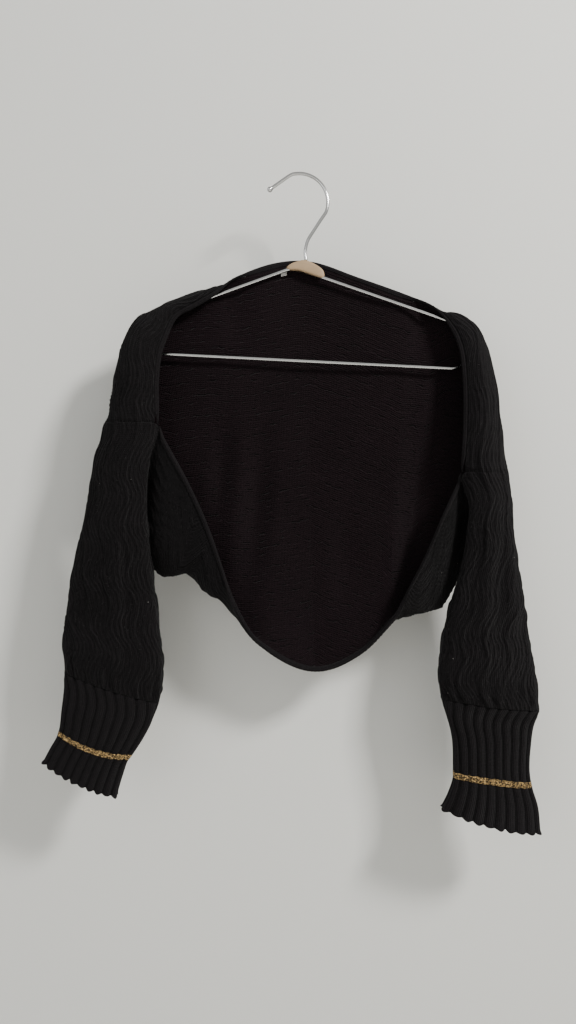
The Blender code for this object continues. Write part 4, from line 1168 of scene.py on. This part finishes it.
def gold_finish(name="gold_stripe"):
    """Metallic yarn: painted gold glints, painted tan shade and dark gaps, sorted by fine noise over the stitches."""
    found = bpy.data.materials.get(name)
    if found:
        return found
    made, tree, shader, place, cloth = new_finish(name, 0.42, 0.65)
    gold = bpy.context.scene.shrug_colours.stripe_colour
    stitches = place_group(tree, stitch_group(), {"Cloth": cloth}, {"Column": 0.0026, "Course": 0.0022})
    speck = noise_value(tree, place, 640.0, 3.0)
    # Painted light: the noise sorts the stripe into painted glints, painted shade and dark gaps, and the stitches' tops
    # are painted a little paler.
    painted_light_and_tone = calculate(tree, "MULTIPLY_ADD", speck, 1.0, calculate(tree, "MULTIPLY", stitches.outputs["Height"], 0.12))
    ramp = tree.nodes.new("ShaderNodeValToRGB")
    stops = ramp.color_ramp.elements
    stops[0].position, stops[0].color = 0.52, (0.012, 0.008, 0.005, 1)
    stops[1].position, stops[1].color = 0.72, (*(min(1.0, 2.2 * c) for c in gold), 1)
    middle = stops.new(0.60)
    middle.color = (*gold, 1)
    tree.links.new(painted_light_and_tone, ramp.inputs[0])
    tree.links.new(ramp.outputs["Color"], shader.inputs["Base Color"])
    rough = calculate(tree, "MULTIPLY_ADD", speck, -0.35, 0.6)
    tree.links.new(rough, shader.inputs["Roughness"])
    tree.links.new(bump_normal(tree, painted_light_and_tone, 0.0007), shader.inputs["Normal"])
    return made


def chrome_finish():
    """Polished wire with faint dull spots, and a painted reflection: its colour is pale where the wire faces the viewer
    and near black at its sides, as if the sides mirrored a darker room.
    """
    found = bpy.data.materials.get("polished_wire")
    if found:
        return found
    made, tree, shader, place, _ = new_finish("polished_wire", 0.18, 1.0)
    # Painted reflection: Facing turns the base colour from pale to near black towards the wire's grazing sides.
    facing = tree.nodes.new("ShaderNodeLayerWeight")
    facing.inputs["Blend"].default_value = 0.5
    ramp = tree.nodes.new("ShaderNodeValToRGB")
    stops = ramp.color_ramp.elements
    stops[0].position, stops[0].color = 0.22, (0.84, 0.84, 0.83, 1)
    stops[1].position, stops[1].color = 0.56, (0.045, 0.045, 0.05, 1)
    tree.links.new(facing.outputs["Facing"], ramp.inputs[0])
    tree.links.new(ramp.outputs["Color"], shader.inputs["Base Color"])
    dull = noise_value(tree, place, 90.0, 3.0)
    tree.links.new(calculate(tree, "MULTIPLY_ADD", dull, 0.22, 0.08), shader.inputs["Roughness"])
    tree.links.new(bump_normal(tree, noise_value(tree, place, 700.0, 2.0), 0.0001, 0.25), shader.inputs["Normal"])
    return made


def board_finish():
    """Pale board with a fine grain along it and slightly rubbed patches."""
    found = bpy.data.materials.get("pale_board")
    if found:
        return found
    made, tree, shader, place, _ = new_finish("pale_board", 0.6)
    colour = bpy.context.scene.shrug_colours.saddle_colour
    grain = noise_value(tree, place, 60.0, 5.0, (1.0, 6.0, 9.0))
    rubbed = noise_value(tree, place, 45.0, 2.0)
    mixed = calculate(tree, "MULTIPLY_ADD", rubbed, 0.5, calculate(tree, "MULTIPLY", grain, 0.5))
    dark = tuple(0.78 * c for c in colour)
    light = tuple(min(1.0, 1.15 * c) for c in colour)
    tree.links.new(blend_colours(tree, mixed, dark, light), shader.inputs["Base Color"])
    tree.links.new(bump_normal(tree, grain, 0.0002, 0.5), shader.inputs["Normal"])
    return made


def tape_finish():
    """White woven tape, with painted shade: greyer where the weave's stitches are low and paler on their tops."""
    found = bpy.data.materials.get("white_tape_weave")
    if found:
        return found
    made, tree, shader, _, cloth = new_finish("white_tape_weave", 0.8)
    stitches = place_group(tree, stitch_group(), {"Cloth": cloth}, {"Column": 0.0006, "Course": 0.0006})
    # Painted shade: the colour follows the stitch height, grey in the weave's grooves.
    colour = blend_colours(tree, stitches.outputs["Height"], (0.5, 0.49, 0.47), (0.84, 0.83, 0.8))
    tree.links.new(colour, shader.inputs["Base Color"])
    tree.links.new(bump_normal(tree, stitches.outputs["Height"], 0.0002), shader.inputs["Normal"])
    return made


def fibre_finish():
    """Single dark hairs of the same yarn."""
    found = bpy.data.materials.get("loose_yarn_hair")
    if found:
        return found
    made, tree, shader, place, _ = new_finish("loose_yarn_hair", 0.7)
    tint = noise_value(tree, place, 40.0, 1.0)
    tree.links.new(blend_colours(tree, tint, (0.012, 0.011, 0.012), (0.06, 0.055, 0.055)), shader.inputs["Base Color"])
    return made


def lint_finish():
    """Pale lint, from grey to off-white."""
    found = bpy.data.materials.get("pale_lint")
    if found:
        return found
    made, tree, shader, place, _ = new_finish("pale_lint", 0.9)
    tint = noise_value(tree, place, 30.0, 1.0)
    tree.links.new(blend_colours(tree, tint, (0.10, 0.09, 0.09), (0.42, 0.40, 0.38)), shader.inputs["Base Color"])
    return made


def stage_finish(name, colour, one_sided):
    """Plain matt paint with a faint mottle. One-sided paint isn't seen from behind."""
    made, tree, shader, place, _ = new_finish(name, 0.9)
    mottle = noise_value(tree, place, 3.0, 2.0)
    dark = tuple(0.98 * c for c in colour)
    tree.links.new(blend_colours(tree, mottle, dark, colour), shader.inputs["Base Color"])
    shader.inputs["Specular IOR Level"].default_value = 0.1
    if one_sided:
        clear = tree.nodes.new("ShaderNodeBsdfTransparent")
        mix = tree.nodes.new("ShaderNodeMixShader")
        side = tree.nodes.new("ShaderNodeNewGeometry")
        tree.links.new(side.outputs["Backfacing"], mix.inputs[0])
        tree.links.new(shader.outputs[0], mix.inputs[1])
        tree.links.new(clear.outputs[0], mix.inputs[2])
        tree.links.new(mix.outputs[0], tree.nodes["Material Output"].inputs["Surface"])
    return made


def add_flat(name, corners, finish):
    """A flat four-cornered piece of the stage."""
    mesh = bpy.data.meshes.new(name)
    mesh.from_pydata(corners, [], [(0, 1, 2, 3)])
    mesh.materials.append(finish)
    made = bpy.data.objects.new(name, mesh)
    bpy.context.scene.collection.objects.link(made)
    return made


def add_lamp(name, place, aim, size, power, colour):
    """A square soft lamp at a place, turned towards its aim."""
    lamp = bpy.data.lights.new(name, "AREA")
    lamp.size = size
    lamp.energy = power
    lamp.color = colour
    made = bpy.data.objects.new(name, lamp)
    made.location = place
    made.rotation_euler = (Vector(aim) - Vector(place)).to_track_quat("-Z", "Y").to_euler()
    bpy.context.scene.collection.objects.link(made)
    return made


def build_stage(stage):
    """The floor, the pale backdrop close behind the garment, the lamps, the surroundings and the camera."""
    paint = stage_finish("pale_wall_paint", tuple(stage.wall_colour), one_sided=True)
    y = stage.wall_distance
    wall = add_flat("backdrop", [(-1.9, y, -1.6), (1.9, y, -1.6), (1.9, y, 1.3), (-1.9, y, 1.3)], paint)
    wall.visible_shadow = False
    wall.visible_diffuse = False
    wall.visible_glossy = False
    floor_paint = stage_finish("pale_floor_paint", (0.66, 0.65, 0.62), one_sided=False)
    z = stage.floor_height
    add_flat("floor", [(-6, -6, z), (6, -6, z), (6, 6, z), (-6, 6, z)], floor_paint)
    aim = (0.0, 0.0, -0.42)
    add_lamp("key_lamp", (1.75, -1.55, 1.2), aim, 0.45, stage.key_power, (1.0, 0.985, 0.96))
    add_lamp("fill_lamp", (-1.6, -2.0, 0.1), aim, 1.8, stage.fill_power, (0.97, 0.985, 1.0))
    add_lamp("rear_lamp", (-0.9, 2.2, 0.9), aim, 1.6, stage.rear_power, (1.0, 0.99, 0.98))
    world = bpy.data.worlds.new("pale_surroundings")
    world.use_nodes = True
    world.node_tree.nodes["Background"].inputs["Color"].default_value = (0.80, 0.80, 0.78, 1)
    world.node_tree.nodes["Background"].inputs["Strength"].default_value = stage.surroundings
    bpy.context.scene.world = world
    lens = bpy.data.cameras.new("front_camera")
    lens.sensor_fit = "VERTICAL"
    lens.sensor_height = 36.0
    lens.lens = 740 / 1024 * 36.0
    lens.clip_start = 0.01
    camera = bpy.data.objects.new("front_camera", lens)
    camera.location = (-0.0139, -0.930, -0.4234)
    camera.rotation_euler = (math.radians(90), 0, 0)
    bpy.context.scene.collection.objects.link(camera)
    bpy.context.scene.camera = camera


class ShrugClothSizes(bpy.types.PropertyGroup):
    """Sizes of the knit."""

    wave_length: bpy.props.FloatProperty(
        name="Wave length", description="Length of one wave of a raised line", default=0.063, min=0.02, unit="LENGTH"
    )
    wave_swing: bpy.props.FloatProperty(
        name="Wave swing", description="How far a raised line swings to each side", default=0.0045, min=0,
        unit="LENGTH",
    )
    ridge_spacing: bpy.props.FloatProperty(
        name="Line spacing", description="Distance between raised lines", default=0.027, min=0.01, unit="LENGTH"
    )
    ridge_height: bpy.props.FloatProperty(
        name="Line height", description="How far a raised line stands off the knit", default=0.0026, min=0,
        unit="LENGTH",
    )
    rib_height: bpy.props.FloatProperty(
        name="Rib height", description="How far a cuff's ribs stand out", default=0.0015, min=0, unit="LENGTH"
    )
    fibres: bpy.props.IntProperty(name="Loose fibres", description="Number of hairs off the cloth", default=2400, min=1)
    flecks: bpy.props.IntProperty(name="Lint flecks", description="Number of specks of lint", default=46, min=1)


class ShrugColours(bpy.types.PropertyGroup):
    """Colours of the finishes."""

    cloth_colour: bpy.props.FloatVectorProperty(
        name="Cloth", description="Colour of the knit", subtype="COLOR", default=(0.0052, 0.0045, 0.0049), min=0, max=1
    )
    stripe_colour: bpy.props.FloatVectorProperty(
        name="Stripe", description="Colour of the metallic yarn", subtype="COLOR", default=(0.36, 0.24, 0.10),
        min=0, max=1,
    )
    saddle_colour: bpy.props.FloatVectorProperty(
        name="Saddle", description="Colour of the board saddle", subtype="COLOR", default=(0.43, 0.30, 0.175),
        min=0, max=1,
    )


class ShrugStageSettings(bpy.types.PropertyGroup):
    """Settings of the stage."""

    wall_colour: bpy.props.FloatVectorProperty(
        name="Backdrop", description="Colour of the backdrop", subtype="COLOR", default=(0.86, 0.86, 0.82),
        min=0, max=1,
    )
    wall_distance: bpy.props.FloatProperty(
        name="Backdrop distance", description="How far the backdrop lies behind the hanger", default=0.075,
        unit="LENGTH",
    )
    floor_height: bpy.props.FloatProperty(
        name="Floor height", description="Height of the floor", default=-1.25, unit="LENGTH"
    )
    key_power: bpy.props.FloatProperty(name="Key lamp", description="Power in watts", default=88.0, min=0)
    fill_power: bpy.props.FloatProperty(name="Fill lamp", description="Power in watts", default=12.0, min=0)
    rear_power: bpy.props.FloatProperty(name="Rear lamp", description="Power in watts", default=30.0, min=0)
    surroundings: bpy.props.FloatProperty(name="Surroundings", description="Brightness", default=0.55, min=0)


class SHRUG_OT_body(bpy.types.Operator):
    """Build the body of the shrug"""

    bl_idname = "shrug.body"
    bl_label = "Body"

    def execute(self, context):
        build_body(context.scene.shrug_cloth)
        return {"FINISHED"}


class SHRUG_OT_sleeves(bpy.types.Operator):
    """Build both sleeves"""

    bl_idname = "shrug.sleeves"
    bl_label = "Sleeves"

    def execute(self, context):
        for side in ("left", "right"):
            build_sleeve(context.scene.shrug_cloth, side)
        return {"FINISHED"}


class SHRUG_OT_bands(bpy.types.Operator):
    """Build the rolled bands and the tab"""

    bl_idname = "shrug.bands"
    bl_label = "Bands and tab"

    def execute(self, context):
        build_band("neck_band_roll", "neck_band", at_hem=False)
        build_band("hem_band_roll", "hem_band", at_hem=True)
        build_tab()
        return {"FINISHED"}


class SHRUG_OT_cuffs(bpy.types.Operator):
    """Build both ribbed cuffs with their stripes"""

    bl_idname = "shrug.cuffs"
    bl_label = "Cuffs"

    def execute(self, context):
        for side in ("left", "right"):
            build_cuff(context.scene.shrug_cloth, side)
        return {"FINISHED"}


class SHRUG_OT_fluff(bpy.types.Operator):
    """Build the loose fibres and the lint"""

    bl_idname = "shrug.fluff"
    bl_label = "Fibres and lint"

    def execute(self, context):
        build_fibres(context.scene.shrug_cloth.fibres)
        build_lint(context.scene.shrug_cloth.flecks)
        return {"FINISHED"}


class SHRUG_OT_hanger(bpy.types.Operator):
    """Build the wire hanger and its saddle"""

    bl_idname = "shrug.hanger"
    bl_label = "Hanger"

    def execute(self, context):
        build_hanger()
        return {"FINISHED"}


class SHRUG_OT_declare(bpy.types.Operator):
    """Does nothing: no size of any piece of cloth is stated"""

    bl_idname = "shrug.declare"
    bl_label = "State cloth sizes"

    def execute(self, context):
        return {"FINISHED"}


class SHRUG_OT_stage(bpy.types.Operator):
    """Set up the floor, the backdrop, the lamps and the camera"""

    bl_idname = "shrug.stage"
    bl_label = "Stage"

    def execute(self, context):
        build_stage(context.scene.shrug_stage)
        return {"FINISHED"}


OPERATORS = (
    SHRUG_OT_body,
    SHRUG_OT_sleeves,
    SHRUG_OT_bands,
    SHRUG_OT_cuffs,
    SHRUG_OT_fluff,
    SHRUG_OT_hanger,
    SHRUG_OT_declare,
    SHRUG_OT_stage,
)


class SHRUG_PT_panel(bpy.types.Panel):
    """Lists the shrug's pieces and their sizes"""

    bl_idname = "SHRUG_PT_panel"
    bl_label = "Knitted shrug"
    bl_space_type = "VIEW_3D"
    bl_region_type = "UI"
    bl_category = "Shrug"

    def draw(self, context):
        for group in (context.scene.shrug_cloth, context.scene.shrug_colours, context.scene.shrug_stage):
            box = self.layout.box()
            for label in group.__annotations__:
                box.prop(group, label)
        for operator in OPERATORS:
            self.layout.operator(operator.bl_idname)


GROUPS = {"shrug_cloth": ShrugClothSizes, "shrug_colours": ShrugColours, "shrug_stage": ShrugStageSettings}


def register():
    """Registers the settings, the operators and the panel."""
    for label, group in GROUPS.items():
        bpy.utils.register_class(group)
        setattr(bpy.types.Scene, label, bpy.props.PointerProperty(type=group))
    for operator in OPERATORS:
        bpy.utils.register_class(operator)
    bpy.utils.register_class(SHRUG_PT_panel)


def unregister():
    """Takes back what register did, in reverse."""
    bpy.utils.unregister_class(SHRUG_PT_panel)
    for operator in reversed(OPERATORS):
        bpy.utils.unregister_class(operator)
    for label, group in reversed(GROUPS.items()):
        delattr(bpy.types.Scene, label)
        bpy.utils.unregister_class(group)


def main():
    """Builds every piece in order."""
    register()
    bpy.ops.shrug.body()
    bpy.ops.shrug.sleeves()
    bpy.ops.shrug.bands()
    bpy.ops.shrug.cuffs()
    bpy.ops.shrug.fluff()
    bpy.ops.shrug.hanger()
    bpy.ops.shrug.declare()
    bpy.ops.shrug.stage()


if __name__ == "__main__":
    main()
